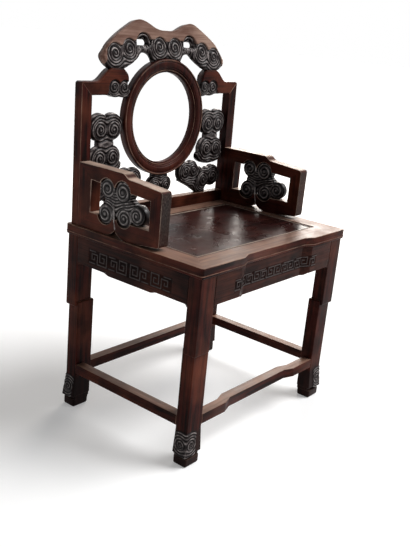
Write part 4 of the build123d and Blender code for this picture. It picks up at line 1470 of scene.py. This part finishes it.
# ------------------------------------------------------------------ shoulders
@dataclass
class Shoulder:
    """One shoulder: a plain hump beside the crest, with two scrolls sunk under it.

    Attributes:
        side: -1 left, 1 right.
        depth: Its thickness.
        face: Level of its plain face.
        sink: How deep the scrolls' grooves are sunk.
        relief: Height of the bands over the grooves.
        swelling: Height of the scrolls' discs over their edges.
        rim_round: Radius of its open edges.
        margin: Width of the sunk ring round a scroll.
        top: Outline of the hump.
        inner: Outline toward the crest.
        bottom: Outline under the scrolls.
        ground_line: The sunk ground under the scrolls.
    """

    side: int
    depth: float = 24.0
    face: float = -1.0
    sink: float = 5.6
    relief: float = 2.2
    swelling: float = 2.0
    rim_round: float = 3.5
    margin: float = 3.0
    top: tuple[Point, ...] = ((260.0, 363.2), (250.0, 367.0), (240.0, 375.0), (230.0, 384.2), (221.0, 391.3),
                              (212.0, 395.8))
    inner: tuple[Point, ...] = ((170.0, 395.8), (160.0, 388.0), (152.0, 378.0), (150.0, 364.0),
                                (150.0, 346.0))
    bottom: tuple[Point, ...] = ((138.0, 338.0), (138.0, 326.0), (158.0, 321.0), (176.0, 323.5),
                                 (196.0, 322.5), (212.0, 327.0), (232.0, 329.0))
    ground_line: tuple[Point, ...] = ((182.0, 356.0), (220.0, 342.0), (231.0, 318.0), (120.0, 318.0),
                                      (120.0, 352.0))

    def carving(self) -> CloudRelief:
        """Its two scrolls."""
        side = self.side
        return CloudRelief((Scroll(side * 200.0, 347.5, 18.5, spin=side, entry=90 + side * 60),
                            Scroll(side * 164.0, 346.5, 18.5, spin=-side, entry=90 - side * 60)),
                           band=6.4, melt=4.0)

    def shape_from(self, lower: Point, upper: Point) -> Distance:
        """Return the distance from its outline.

        Args:
            lower: Its lower corner at the post.
            upper: Its upper corner at the post.

        Returns:
            A function of places.
        """
        line = [lower, upper, *curve_through(self.top), *curve_through(self.inner),
                *curve_through(self.bottom)]
        return lambda u, v: polygon(line)(self.side * u, v)

    def outline(self, u: Array, v: Array) -> Array:
        """Return its outline, cut to the roundel and rounded with the post's upper corner.

        Args:
            u: Places across.
            v: Places up.

        Returns:
            Signed distances.
        """
        shape = self.shape_from((CHAIR.post_inner, 329.0), (CHAIR.half_back, CHAIR.post_height))(u, v)
        roundel = CHAIR.ring_outer + CHAIR.fit - np.hypot(u, v - CHAIR.ring_centre)
        past = self.side * u - CHAIR.half_back + CHAIR.post_round
        above = v - CHAIR.post_height + CHAIR.post_round
        corner = np.where((past > 0) & (above > 0), np.hypot(past, above) - CHAIR.post_round,
                          -CHAIR.post_round)
        return np.maximum.reduce([shape, roundel, corner])

    def front(self, u: Array, v: Array) -> Surface:
        """Return the carved front, rounded at its open edges and not at the mitre with the post.

        Args:
            u: Places across.
            v: Places up.

        Returns:
            The surface.
        """
        carving = self.carving()
        rounds = [circle(s.across, s.up, s.radius + self.margin) for s in carving.scrolls]
        below = polygon(sided(self.side, self.ground_line))
        sunk = 1 - ease(-1.6, 0.1, joined(below, *rounds)(u, v))
        height = carving.height(u, v)
        level = self.face + sunk * (-self.sink + self.relief * height + self.swelling * carving.swell(u, v))
        rim = self.shape_from((300.0, 329.0), (340.0, CHAIR.post_height))(u, v)
        return Surface(level - Board.fall(rim, self.rim_round), np.where(sunk > 0.5, height, 1.0), 1 - sunk)

    def build(self, name: str, finish: Material) -> None:
        """Make the shoulder.

        Args:
            name: left or right.
            finish: Its finish.
        """
        board = Board(f"carved_shoulder_{name}", (*span_of(self.side, 136, 314), 318, 397), self.outline,
                      self.front, even_side(self.face - self.depth), BACK_PLANE.place, step=1.1)
        fit_piece(board.build(), finish, Slot.CARVED, f"shoulder_{name}")


# ------------------------------------------------------------------ clouds of the back
@dataclass
class BackCloud:
    """A pierced cloud between the roundel, the posts and the lower rail.

    Attributes:
        name: The joiner's name for it.
        span: Least and greatest place across, then up.
        shape: Its own outline, before it is cut to its neighbours.
        carving: Its scrolls and bands.
        ground: Level of its ground.
        sink: Depth of the grooves below the ground.
        relief: Height of the bands over the grooves.
        swelling: Height of the scrolls' discs over their edges.
        depth: Its thickness.
        pillow: Radius of its free edges.
    """

    name: str
    span: tuple[float, ...]
    shape: Distance
    carving: CloudRelief
    ground: float = -7.0
    sink: float = 0.8
    relief: float = 2.4
    swelling: float = 2.6
    depth: float = 16.0
    pillow: float = 9.0

    def outline(self, u: Array, v: Array) -> Array:
        """Return its outline, cut to the roundel, the posts and the rail.

        Args:
            u: Places across.
            v: Places up.

        Returns:
            Signed distances.
        """
        roundel = CHAIR.ring_outer + CHAIR.fit - np.hypot(u, v - CHAIR.ring_centre)
        posts = np.abs(u) - CHAIR.post_inner + CHAIR.fit
        rail = CHAIR.back_rail_height + CHAIR.fit - v
        return np.maximum.reduce([self.shape(u, v), roundel, posts, rail])

    def front(self, u: Array, v: Array) -> Surface:
        """Return its carved front, rounded like a pillow where it stands free.

        Args:
            u: Places across.
            v: Places up.

        Returns:
            The surface.
        """
        height = self.carving.height(u, v)
        level = self.ground - self.sink + self.relief * height + self.swelling * self.carving.swell(u, v)
        return Surface(level - Board.fall(self.shape(u, v), self.pillow), height, np.zeros_like(u))

    def build(self, finish: Material) -> None:
        """Make the cloud.

        Args:
            finish: Its finish.
        """
        board = Board(f"carved_{self.name}", self.span, self.outline, self.front,
                      even_side(self.ground - self.depth), BACK_PLANE.place, step=1.1, rear_round=1.6)
        fit_piece(board.build(), finish, Slot.CARVED, self.name)


def side_cloud(side: int, name: str) -> BackCloud:
    """Return the cloud beside the roundel.

    Args:
        side: -1 left, 1 right.
        name: left or right.

    Returns:
        The cloud.
    """
    shape = joined(
        circle(side * 195.5, 247.0, 36.0), circle(side * 241.0, 247.0, 36.0),
        circle(side * 196.0, 167.0, 33.0), circle(side * 241.0, 165.0, 33.0),
        polygon(sided(side, ((189.0, 167.0), (247.0, 167.0), (247.0, 247.0), (189.0, 247.0)))),
        stretched_circle(side * 218.0, 145.0, 62.0, 25.0),
    )
    scrolls = ((195.0, 240.0, 22.0, 1), (241.0, 240.0, 22.0, -1), (196.0, 167.0, 21.0, 1),
               (240.0, 165.0, 21.0, -1))
    carving = CloudRelief(tuple(Scroll(side * across, up, radius, spin=side * way, entry=90 - side * way * 80)
                                for across, up, radius, way in scrolls))
    return BackCloud(f"cloud_side_{name}", (*span_of(side, 158, 282), 118, 285), shape, carving)


def corner_cloud(side: int, name: str) -> BackCloud:
    """Return the cloud below and beside the roundel.

    Args:
        side: -1 left, 1 right.
        name: left or right.

    Returns:
        The cloud.
    """
    body = ((84, 76), (131, 55), (172, 32), (206, 32), (206, 76), (150, 112), (96, 112))
    lobes = ((108.0, 102.0, 31.0), (138.0, 103.0, 31.0), (190.0, 74.0, 33.0), (237.0, 82.0, 33.0),
             (172.0, 92.0, 22.0), (213.0, 84.0, 26.0))
    shape = joined(*(circle(side * across, up, radius) for across, up, radius in lobes),
                   polygon(sided(side, body)))
    scrolls = ((108.0, 102.0, 18.5, -1), (143.0, 104.0, 18.5, 1), (191.0, 72.0, 20.5, 1),
               (235.0, 78.0, 20.5, -1))
    carving = CloudRelief(tuple(Scroll(side * across, up, radius, spin=side * way, entry=90 - side * way * 60)
                                for across, up, radius, way in scrolls), band=6.0)
    return BackCloud(f"cloud_corner_{name}", (*span_of(side, 76, 272), 33, 136), shape, carving)


def centre_cloud() -> BackCloud:
    """Return the cloud under the roundel.

    Returns:
        The cloud.
    """
    stem = ((-25, 34), (25, 34), (25, 75), (32, 80), (32, 115), (-32, 115), (-32, 80), (-25, 75))
    shape = joined(circle(-23.0, 75.0, 26.0), circle(23.0, 75.0, 26.0), polygon(stem))
    carving = CloudRelief((Scroll(-22.0, 71.0, 17.0, spin=1, entry=0),
                           Scroll(22.0, 71.0, 17.0, spin=-1, entry=180)), band=5.6)
    return BackCloud("cloud_centre", (-51, 51, 33, 108), shape, carving)


# ------------------------------------------------------------------ arm clouds
@dataclass
class ArmCloud:
    """The cloud in an arm's opening, carved on both sides.

    Attributes:
        side: -1 left, 1 right.
        base: Half its thickness, to the middle of the carving.
        sink: Depth of the grooves below that.
        relief: Height of the bands over the grooves.
        swelling: Height of the scrolls' discs over their edges.
        ridge_line: Outline of the ridge that runs down over the lower rail.
        ridge_high: Height of the ridge over the rail's face.
        ridge_thick: Its thickness there.
        ridge_climb: Heights between which it sinks in to meet the cloud.
        ridge_fall: How far its crown and its bed have sunk in there.
        ridge_round: Radius of its edges.
    """

    side: int
    base: float = 14.75
    sink: float = 2.4
    relief: float = 2.4
    swelling: float = 2.2
    ridge_line: tuple[Point, ...] = ((119.5, 84.0), (124.5, 84.0), (129.0, 50.0), (137.0, 20.0),
                                     (131.0, 20.0), (123.5, 50.0))
    ridge_high: float = 0.8
    ridge_thick: float = 3.4
    ridge_climb: Point = (44.0, 62.0)
    ridge_fall: Point = (1.2, 3.2)
    ridge_round: float = 2.6

    def plane(self) -> WorkPlane:
        """Middle plane of the arm: across is forward, up is up."""
        middle = self.side * (CHAIR.half_back - CHAIR.post_width / 2)
        return WorkPlane(Vector((middle, CHAIR.back_y, CHAIR.seat_top)), Vector((0.0, -1.0, 0.0)),
                         Vector((0.0, 0.0, 1.0)), Vector((-1.0, 0.0, 0.0)))

    @staticmethod
    def carving() -> CloudRelief:
        """Its five scrolls."""
        return CloudRelief((
            Scroll(100.0, 117.5, 23.5, spin=1, entry=-60), Scroll(152.5, 117.5, 24.5, spin=-1, entry=-110),
            Scroll(95.0, 53.0, 25.5, spin=-1, entry=70), Scroll(161.5, 54.5, 23.5, spin=-1, entry=110),
            Scroll(203.0, 70.0, 22.0, spin=1, entry=100),
        ), band=5.6, melt=14.0, leaders=(2, 3, 4))

    @staticmethod
    def outline() -> Distance:
        """Return its outline.

        Returns:
            The distance from its lobes, its body and the short stem under the front scroll.
        """
        lobes = [circle(*lobe) for lobe in ((97.5, 117.0, 26.0), (152.0, 119.0, 27.0), (95.0, 53.0, 27.5),
                                            (160.0, 57.5, 27.0), (201.0, 70.0, 25.5))]
        body = polygon([(86, 84), (98, 117), (152, 119), (188, 96), (204, 74), (160, 50), (95, 50)])
        stem = polygon([(187.5, 44.5), (198.5, 44.5), (198.5, 70.0), (187.5, 70.0)])
        return joined(*lobes, body, stem)

    def surface(self, sign: int) -> Side:
        """Return one side.

        Args:
            sign: 1 for the side the plane faces, -1 for the other.

        Returns:
            The side's surface as a function.
        """
        def carved(u: Array, v: Array) -> Surface:
            """Return the carved side.

            Args:
                u: Places across.
                v: Places up.

            Returns:
                The surface.
            """
            carving = self.carving()
            height = carving.height(u, v)
            level = self.base - self.sink + self.relief * height + self.swelling * carving.swell(u, v)
            return Surface(sign * level, height, np.zeros_like(u))

        return carved

    def build(self, name: str, finish: Material) -> None:
        """Make the cloud and its two ridges.

        Args:
            name: left or right.
            finish: Its finish.
        """
        board = Board(f"carved_arm_cloud_{name}", (66, 228, 24, 147), self.outline(), self.surface(1),
                      self.surface(-1), self.plane().place, step=1.05, edge_round=8.0, rear_round=8.0)
        fit_piece(board.build(), finish, Slot.CARVED, f"arm_cloud_{name}")
        for sign in (-1, 1):
            self.build_ridge(name, sign, finish)

    def build_ridge(self, name: str, sign: int, finish: Material) -> None:
        """Make the narrow ridge that runs from the cloud down over the lower rail's hump.

        Args:
            name: left or right.
            sign: 1 for the side the plane faces, -1 for the other.
            finish: Its finish.
        """
        low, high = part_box(f"arm_bottom_{name}")
        crown_level = (high[0] - low[0]) / 2 / MM + self.ridge_high
        crown_fall, bed_fall = self.ridge_fall
        strip = polygon(self.ridge_line)

        def crown(u: Array, v: Array) -> Surface:
            """The rounded side."""
            level = crown_level - crown_fall * ease(*self.ridge_climb, v)
            return Surface(level - Board.fall(strip(u, v), self.ridge_round), np.ones_like(u),
                           np.zeros_like(u))

        def bed(u: Array, v: Array) -> Surface:
            """The side that lies on the arm."""
            level = crown_level - bed_fall * ease(*self.ridge_climb, v) - self.ridge_thick
            return Surface(level, np.zeros_like(u), np.zeros_like(u))

        plane = self.plane()
        facing = WorkPlane(plane.origin, plane.across, plane.up, plane.out * sign)
        face = "inner" if sign * self.side > 0 else "outer"
        board = Board(f"arm_stem_{name}_{face}", (118, 139, 18, 86), strip, crown, bed, facing.place,
                      step=0.9)
        fit_piece(board.build(), finish, Slot.CARVED)


# ------------------------------------------------------------------ aprons
@dataclass
class Apron:
    """An apron with a band of fret carved in low relief.

    Attributes:
        name: front, back, left or right.
        reach: Half its length.
        height: Height at its middle.
        fret_half: Half the length of the fret.
        fret_middle: Middle of the fret, from the apron's middle.
        bay: How far its middle stands back.
        thick: Its thickness.
        inset: From the seat's edge to its face.
        lift: How much lower it is at the legs.
        end: Length of the low part at each leg.
        ramp: Length over which it gets lower.
        spur: Radius of the small bracket at each leg.
        bay_half: Half length of the part that stands back.
        bay_ramp: Length of the slope beside it.
        fret_level: Middle of the fret, from the seat's underside.
        stroke: Half the width of a stroke.
        unit: Length of one key of the fret.
        tall: Half the height of the fret.
        sunk: Depth of the fret's field.
        relief: Height of its strokes over the field.
        bead_up: From the lower edge to the bead's line.
        bead_deep: Depth of that line.
    """

    name: str
    reach: float
    height: float
    fret_half: float
    fret_middle: float = 0.0
    bay: float = 0.0
    thick: float = 24.0
    inset: float = 4.7
    lift: float = 5.0
    end: float = 98.0
    ramp: float = 20.0
    spur: float = 9.0
    bay_half: float = 130.0
    bay_ramp: float = 30.0
    fret_level: float = -41.0
    stroke: float = 1.6
    unit: float = 62.0
    tall: float = 16.0
    sunk: float = 0.8
    relief: float = 2.2
    bead_up: float = 4.0
    bead_deep: float = 0.6

    def outline(self, u: Array, v: Array) -> Array:
        """Return its outline: raised near the legs, with a small bracket at each end.

        Args:
            u: Places across.
            v: Places up, from the seat's underside.

        Returns:
            Signed distances.
        """
        side = np.abs(u)
        bend = self.reach - self.end
        low = -self.height + self.lift * ease(bend - self.ramp, bend, side)
        corner = self.reach - self.spur
        rise = np.sqrt(np.clip(self.spur**2 - np.clip(side - corner, 0, None) ** 2, 0, None))
        low = np.where(side > corner, -self.height + self.lift - self.spur + rise, low)
        return np.maximum.reduce([side - self.reach, v, low - v])

    def strokes(self) -> list[tuple[float, float, float, float]]:
        """Return the fret's straight strokes.

        Returns:
            Start and end of each, from the fret's middle.
        """
        hook = ((-0.46, -1), (-0.46, 1), (-0.06, 1), (-0.06, -0.45), (-0.32, -0.45), (-0.32, 0.35),
                (-0.2, 0.35))
        foot = ((-0.46, -1), (0.08, -1), (0.08, 0.55), (0.4, 0.55), (0.4, -0.35), (0.24, -0.35),
                (0.24, 0.05))
        lower, upper = ((0.2, -1), (0.54, -1)), ((0.2, 1), (0.54, 1))
        made = []
        count = max(1, round(self.fret_half / self.unit))
        for index in range(count):
            middle = (index + 0.5) * self.fret_half / count
            for line in (hook, foot, lower, upper):
                for (x0, y0), (x1, y1) in zip(line, line[1:]):
                    made += [(side * (middle + x0 * self.unit), y0 * self.tall,
                              side * (middle + x1 * self.unit), y1 * self.tall) for side in (-1, 1)]
        return made

    def front(self, u: Array, v: Array) -> Surface:
        """Return the carved face.

        Args:
            u: Places across.
            v: Places up.

        Returns:
            The surface.
        """
        across, up = u - self.fret_middle, v - self.fret_level
        nearest = np.full_like(u, np.inf)
        for x0, y0, x1, y1 in self.strokes():
            run, rise = x1 - x0, y1 - y0
            share = np.clip(((across - x0) * run + (up - y0) * rise) / (run * run + rise * rise), 0, 1)
            nearest = np.minimum(nearest, np.maximum(np.abs(across - x0 - share * run),
                                                     np.abs(up - y0 - share * rise)))
        raised = 1 - ease(self.stroke - 0.7, self.stroke + 0.7, nearest)
        beyond = np.maximum(np.abs(across) - self.fret_half - 2, np.abs(up) - self.tall - 3.0)
        field_share = 1 - ease(-1.5, 3.0, beyond)
        lower_bead = np.exp(-((self.outline(u, v) + self.bead_up) / 0.8) ** 2) * (v < -self.height + 25)
        level = (self.relief * raised - self.sunk) * field_share - self.bead_deep * lower_bead
        return Surface(level, raised, 1 - field_share * (0.55 + 0.4 * raised))

    def place(self, u: Array, v: Array, out: Array) -> Array:
        """Return places in the chair's frame.

        Args:
            u: Places along the apron.
            v: Places up.
            out: Places off its face.

        Returns:
            One row of x, y, z for each place.
        """
        back = self.bay * (1 - np.clip((np.abs(u) - self.bay_half) / self.bay_ramp, 0, 1))
        height = CHAIR.under_seat + v
        if self.name in ("front", "back"):
            sign = -1 if self.name == "front" else 1
            face = CHAIR.front_y + self.inset if sign < 0 else CHAIR.rear_y - self.inset
            return np.stack([-sign * u, face + sign * (out - back), height], axis=1)
        sign = -1 if self.name == "left" else 1
        face = CHAIR.half_width - self.inset
        return np.stack([sign * (face + out), CHAIR.seat_y + sign * u, height], axis=1)

    def build(self, finish: Material) -> None:
        """Make the apron.

        Args:
            finish: Its finish.
        """
        board = Board(f"carved_apron_{self.name}", (-self.reach - 1, self.reach + 1, -self.height - 1, 1),
                      self.outline, self.front, even_side(-self.thick, 1.0, 1.0), self.place, step=1.25,
                      edge_round=1.2, rear_round=1.6)
        fit_piece(board.build(), finish, Slot.PLAIN, f"apron_{self.name}")


# ------------------------------------------------------------------ feet
@dataclass
class FootCarving:
    """A cloud head carved round the outer corner of a foot.

    Attributes:
        side: -1 left, 1 right.
        end: -1 front, 1 back.
        corner_round: Radius of the foot's corner.
        foot_top: Height at which the foot starts to flare.
        flare: How far it flares.
        flare_bottom: Height at which it has flared fully.
        leg_out: From the seat's edge to the leg's face.
        half: Half the width of the carving, round the corner.
        beyond: How far the carving goes beyond its scrolls.
        base: Level of its grooves off the foot.
        relief: Height of its bands over the grooves.
        swelling: Height of the scrolls' discs over their edges.
        seam: Half width of the ridge down the corner, and its upper end.
        bed: How deep the carving goes into the foot.
    """

    side: int
    end: int
    corner_round: float = 4.0
    foot_top: float = 96.0
    flare: float = 5.5
    flare_bottom: float = 33.0
    leg_out: float = 10.2
    half: float = 35.5
    beyond: float = 22.0
    base: float = 0.2
    relief: float = 1.9
    swelling: float = 0.8
    seam: Point = (1.6, 50.0)
    bed: float = 2.0

    @staticmethod
    def carving() -> CloudRelief:
        """Two scrolls, one each side of the corner."""
        return CloudRelief((Scroll(-17.0, 60.0, 12.5, spin=-1, entry=60, bands=2.0),
                            Scroll(17.0, 60.0, 12.5, spin=1, entry=120, bands=2.0)), band=7.2, melt=5.0)

    def outline(self, u: Array, v: Array) -> Array:
        """Outline of the carved patch, with u measured round the corner."""
        around = self.carving().around(u, v) - self.beyond
        return np.maximum.reduce([around, np.abs(u) - self.half, 30.0 - v])

    def front(self, u: Array, v: Array) -> Surface:
        """Return the carved face.

        Args:
            u: Places round the corner.
            v: Height above the floor.

        Returns:
            The surface.
        """
        carving = self.carving()
        seam = np.exp(-(u / self.seam[0]) ** 2) * (v < self.seam[1])
        height = np.maximum(carving.height(u, v), seam)
        level = self.base + self.relief * height + self.swelling * carving.swell(u, v)
        return Surface(level, height, np.zeros_like(u))

    def place(self, u: Array, v: Array, out: Array) -> Array:
        """Return places round the foot's outer corner.

        Args:
            u: Places round the corner, 0 on the corner.
            v: Height above the floor.
            out: Places off the foot's face.

        Returns:
            One row of x, y, z for each place.
        """
        down = (self.foot_top - v) / (self.foot_top - self.flare_bottom)
        spread = self.flare * np.clip(down, 0, 1.05) - self.corner_round
        middle_x = CHAIR.half_width - self.leg_out + spread
        middle_y = (CHAIR.rear_y - CHAIR.front_y) / 2 - self.leg_out + spread
        arc = self.corner_round * math.pi / 4
        turn = math.pi / 4 + np.clip(u, -arc, arc) / self.corner_round
        past = np.abs(u) - arc
        reach = self.corner_round + out
        flat = [u > arc, u < -arc]
        x = np.select(flat, [middle_x - past, middle_x + reach], middle_x + reach * np.cos(turn))
        y = np.select(flat, [middle_y + reach, middle_y - past], middle_y + reach * np.sin(turn))
        return np.stack([self.side * x, CHAIR.seat_y + self.end * y, v], axis=1)

    def build(self, name: str, finish: Material) -> None:
        """Make the carving.

        Args:
            name: The leg's name.
            finish: Its finish.
        """
        board = Board(f"foot_carving_{name}", (-self.half - 1, self.half + 1, 29, 99), self.outline,
                      self.front, even_side(-self.bed, 0.0, 0.0), self.place, step=0.8, edge_round=0.9,
                      rear_round=1.6)
        fit_piece(board.build(), finish, Slot.CARVED)


# ------------------------------------------------------------------ studio
@dataclass
class Studio:
    """White floor, soft lamps and the camera.

    Attributes:
        focal_pixels: The camera's focal length, in pixels of the frame.
        frame_height: Height of the frame, in pixels.
        camera_at: Place of the camera, from the seat's middle on the floor.
        yaw: The way it looks, degrees from straight back toward the right.
        pitch: How far it looks up, degrees.
        roll: How far it is turned about its own line of sight, degrees.
        floor_half: Half the floor's side, in metres.
        floor_white: Colour of the floor.
        floor_glow: Light that the floor gives to the camera alone.
        surroundings: Brightness of the surroundings that lights the chair.
        sky_way: The way to the main lamp.
        sky_spread: How wide the main lamp looks, in degrees.
        sky_strength: Its strength, in watts per square metre.
        lamp_at: Place of the lamp behind, in metres.
        lamp_size: Its side, in metres.
        lamp_power: Its power, in watts.
        lamp_colour: Its colour.
    """

    focal_pixels: float = 765.7
    frame_height: int = 547
    camera_at: tuple[float, float, float] = (-1611.3, -1244.1, 1051.2)
    yaw: float = 52.11
    pitch: float = -18.1
    roll: float = 5.52
    floor_half: float = 30.0
    floor_white: float = 0.8
    floor_glow: float = 0.26
    surroundings: float = 0.17
    sky_way: tuple[float, float, float] = (0.64, -0.55, 0.93)
    sky_spread: float = 36.0
    sky_strength: float = 3.35
    lamp_at: tuple[float, float, float] = (3.2, 1.7, 1.5)
    lamp_size: float = 1.5
    lamp_power: float = 70.0
    lamp_colour: Colour = (1.0, 0.93, 0.86)

    def camera(self) -> None:
        """Set the camera."""
        data = bpy.data.cameras.new("camera")
        data.sensor_fit = "VERTICAL"
        data.sensor_height = 24.0
        data.lens = self.focal_pixels * data.sensor_height / self.frame_height
        data.clip_end = 100.0
        yaw, pitch, roll = (math.radians(angle) for angle in (self.yaw, self.pitch, self.roll))
        ahead = Vector((math.sin(yaw) * math.cos(pitch), math.cos(yaw) * math.cos(pitch), math.sin(pitch)))
        right = Vector((math.cos(yaw), -math.sin(yaw), 0.0))
        up = right.cross(ahead)
        tilted_right = math.cos(roll) * right + math.sin(roll) * up
        tilted_up = math.cos(roll) * up - math.sin(roll) * right
        turn = Matrix((tilted_right, tilted_up, -ahead)).transposed()
        place = Vector(self.camera_at) + Vector((0.0, CHAIR.seat_y, 0.0))
        made = set_in_scene("camera", data)
        made.matrix_world = Matrix.Translation(place * MM) @ turn.to_4x4()
        bpy.context.scene.camera = made

    @staticmethod
    def seen(tree: bpy.types.NodeTree) -> Socket:
        """Return 1 for what the camera sees, straight or in a gloss, and 0 for what lights the chair.

        Args:
            tree: The nodes to add it to.

        Returns:
            Its socket.
        """
        path = tree.nodes.new("ShaderNodeLightPath")
        total = path.outputs["Is Camera Ray"]
        for title in ("Is Glossy Ray", "Is Transmission Ray"):
            either = tree.nodes.new("ShaderNodeMath")
            either.operation = "MAXIMUM"
            tree.links.new(total, either.inputs[0])
            tree.links.new(path.outputs[title], either.inputs[1])
            total = either.outputs[0]
        return total

    def world(self) -> None:
        """Set the surroundings: white to the camera, plain grey to the chair."""
        world = bpy.data.worlds.new("studio")
        world.use_nodes = True
        tree = world.node_tree
        background = tree.nodes["Background"]
        background.inputs["Color"].default_value = (1.0, 1.0, 1.0, 1.0)
        strength = tree.nodes.new("ShaderNodeMapRange")
        strength.inputs["To Min"].default_value = self.surroundings
        strength.inputs["To Max"].default_value = 1.0
        tree.links.new(self.seen(tree), strength.inputs["Value"])
        tree.links.new(strength.outputs["Result"], background.inputs["Strength"])
        bpy.context.scene.world = world

    def lamps(self) -> None:
        """Hang the main lamp, far off, and the soft lamp behind the chair."""
        sky = bpy.data.lights.new("key", "SUN")
        sky.angle = math.radians(self.sky_spread)
        sky.energy = self.sky_strength
        hung = set_in_scene("key", sky)
        hung.rotation_euler = (-Vector(self.sky_way)).to_track_quat("-Z", "Y").to_euler()
        soft = bpy.data.lights.new("back", "AREA")
        soft.size = self.lamp_size
        soft.energy = self.lamp_power
        soft.color = self.lamp_colour
        hung = set_in_scene("back", soft)
        hung.location = self.lamp_at
        aim = Vector((0.0, 0.0, 0.5)) - Vector(self.lamp_at)
        hung.rotation_euler = aim.to_track_quat("-Z", "Y").to_euler()

    def floor(self) -> None:
        """Lay the white floor, which keeps the chair's shadow."""
        half = self.floor_half / MM
        corners = np.array([(-half, -half, 0.0), (half, -half, 0.0), (half, half, 0.0), (-half, half, 0.0)])
        made = make_piece("floor", corners, [(0, 1, 2, 3)])
        sheet = NodeSheet("white_floor")
        inputs = sheet.shader.inputs
        inputs["Base Color"].default_value = (self.floor_white, self.floor_white, self.floor_white, 1.0)
        inputs["Roughness"].default_value = 0.9
        inputs["Emission Color"].default_value = (1.0, 1.0, 1.0, 1.0)
        inputs["Specular IOR Level"].default_value = 0.0
        glow = sheet.math("MULTIPLY", self.seen(sheet.tree), self.floor_glow)
        sheet.link(glow, inputs["Emission Strength"])
        made.data.materials.append(sheet.material)

    def build(self) -> None:
        """Set the whole studio."""
        bpy.context.scene.view_settings.view_transform = "Standard"
        self.camera()
        self.world()
        self.floor()
        self.lamps()


def main() -> None:
    """Build the studio and dress the chair, sub-assembly by sub-assembly."""
    logging.basicConfig(level=logging.INFO, format="%(name)s %(message)s")
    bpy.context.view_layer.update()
    Studio().build()
    PlainMembers().dress()
    SeatBeads().build()
    Roundel().build()
    # The crest's plain plank is painted light: a painted sheen where it leans back toward the light.
    Crest().build(CarvedPolish("crest_rosewood", Grain.ACROSS, body=srgb(142, 114, 102),
                               deep=srgb(102, 74, 64), warm=srgb(170, 142, 126)).material())
    carved = CarvedPolish("carved_rosewood", Grain.ACROSS, sheen=0.3).material()
    # The arms' carving has brighter crowns: a painted highlight on the scrolls' rims.
    arm_carving_highlit = CarvedPolish("arm_carved_rosewood", Grain.ACROSS, sheen=0.3, band=srgb(46, 38, 38),
                           crown=srgb(206, 197, 194), carved_gloss=0.3).material()
    for side, name in ((-1, "left"), (1, "right")):
        Shoulder(side).build(name, carved)
        side_cloud(side, name).build(carved)
        corner_cloud(side, name).build(carved)
        ArmCloud(side).build(name, arm_carving_highlit)
        for end, end_name in ((-1, "front"), (1, "back")):
            FootCarving(side, end).build(f"{end_name}_{name}", carved)
    centre_cloud().build(carved)
    dull, side_dull = (
        CarvedPolish(title, grain, sheen=0.34, deep=srgb(24, 11, 9), body=srgb(58, 30, 25),
                     warm=srgb(96, 54, 42), groove=srgb(10, 6, 6), crown=srgb(90, 79, 74)).material()
        for title, grain in (("apron_rosewood", Grain.ACROSS), ("side_apron_rosewood", Grain.DEEP)))
    Apron("front", 259.3, 81.0, 182.0, bay=13.0, tall=13.0, fret_level=-42.0).build(dull)
    Apron("back", 259.3, 77.5, 182.0, tall=13.0).build(dull)
    Apron("left", 190.3, 77.5, 141.0, fret_middle=-3.0).build(side_dull)
    Apron("right", 190.3, 77.5, 141.0, fret_middle=3.0).build(side_dull)


if __name__ == "__main__":
    main()
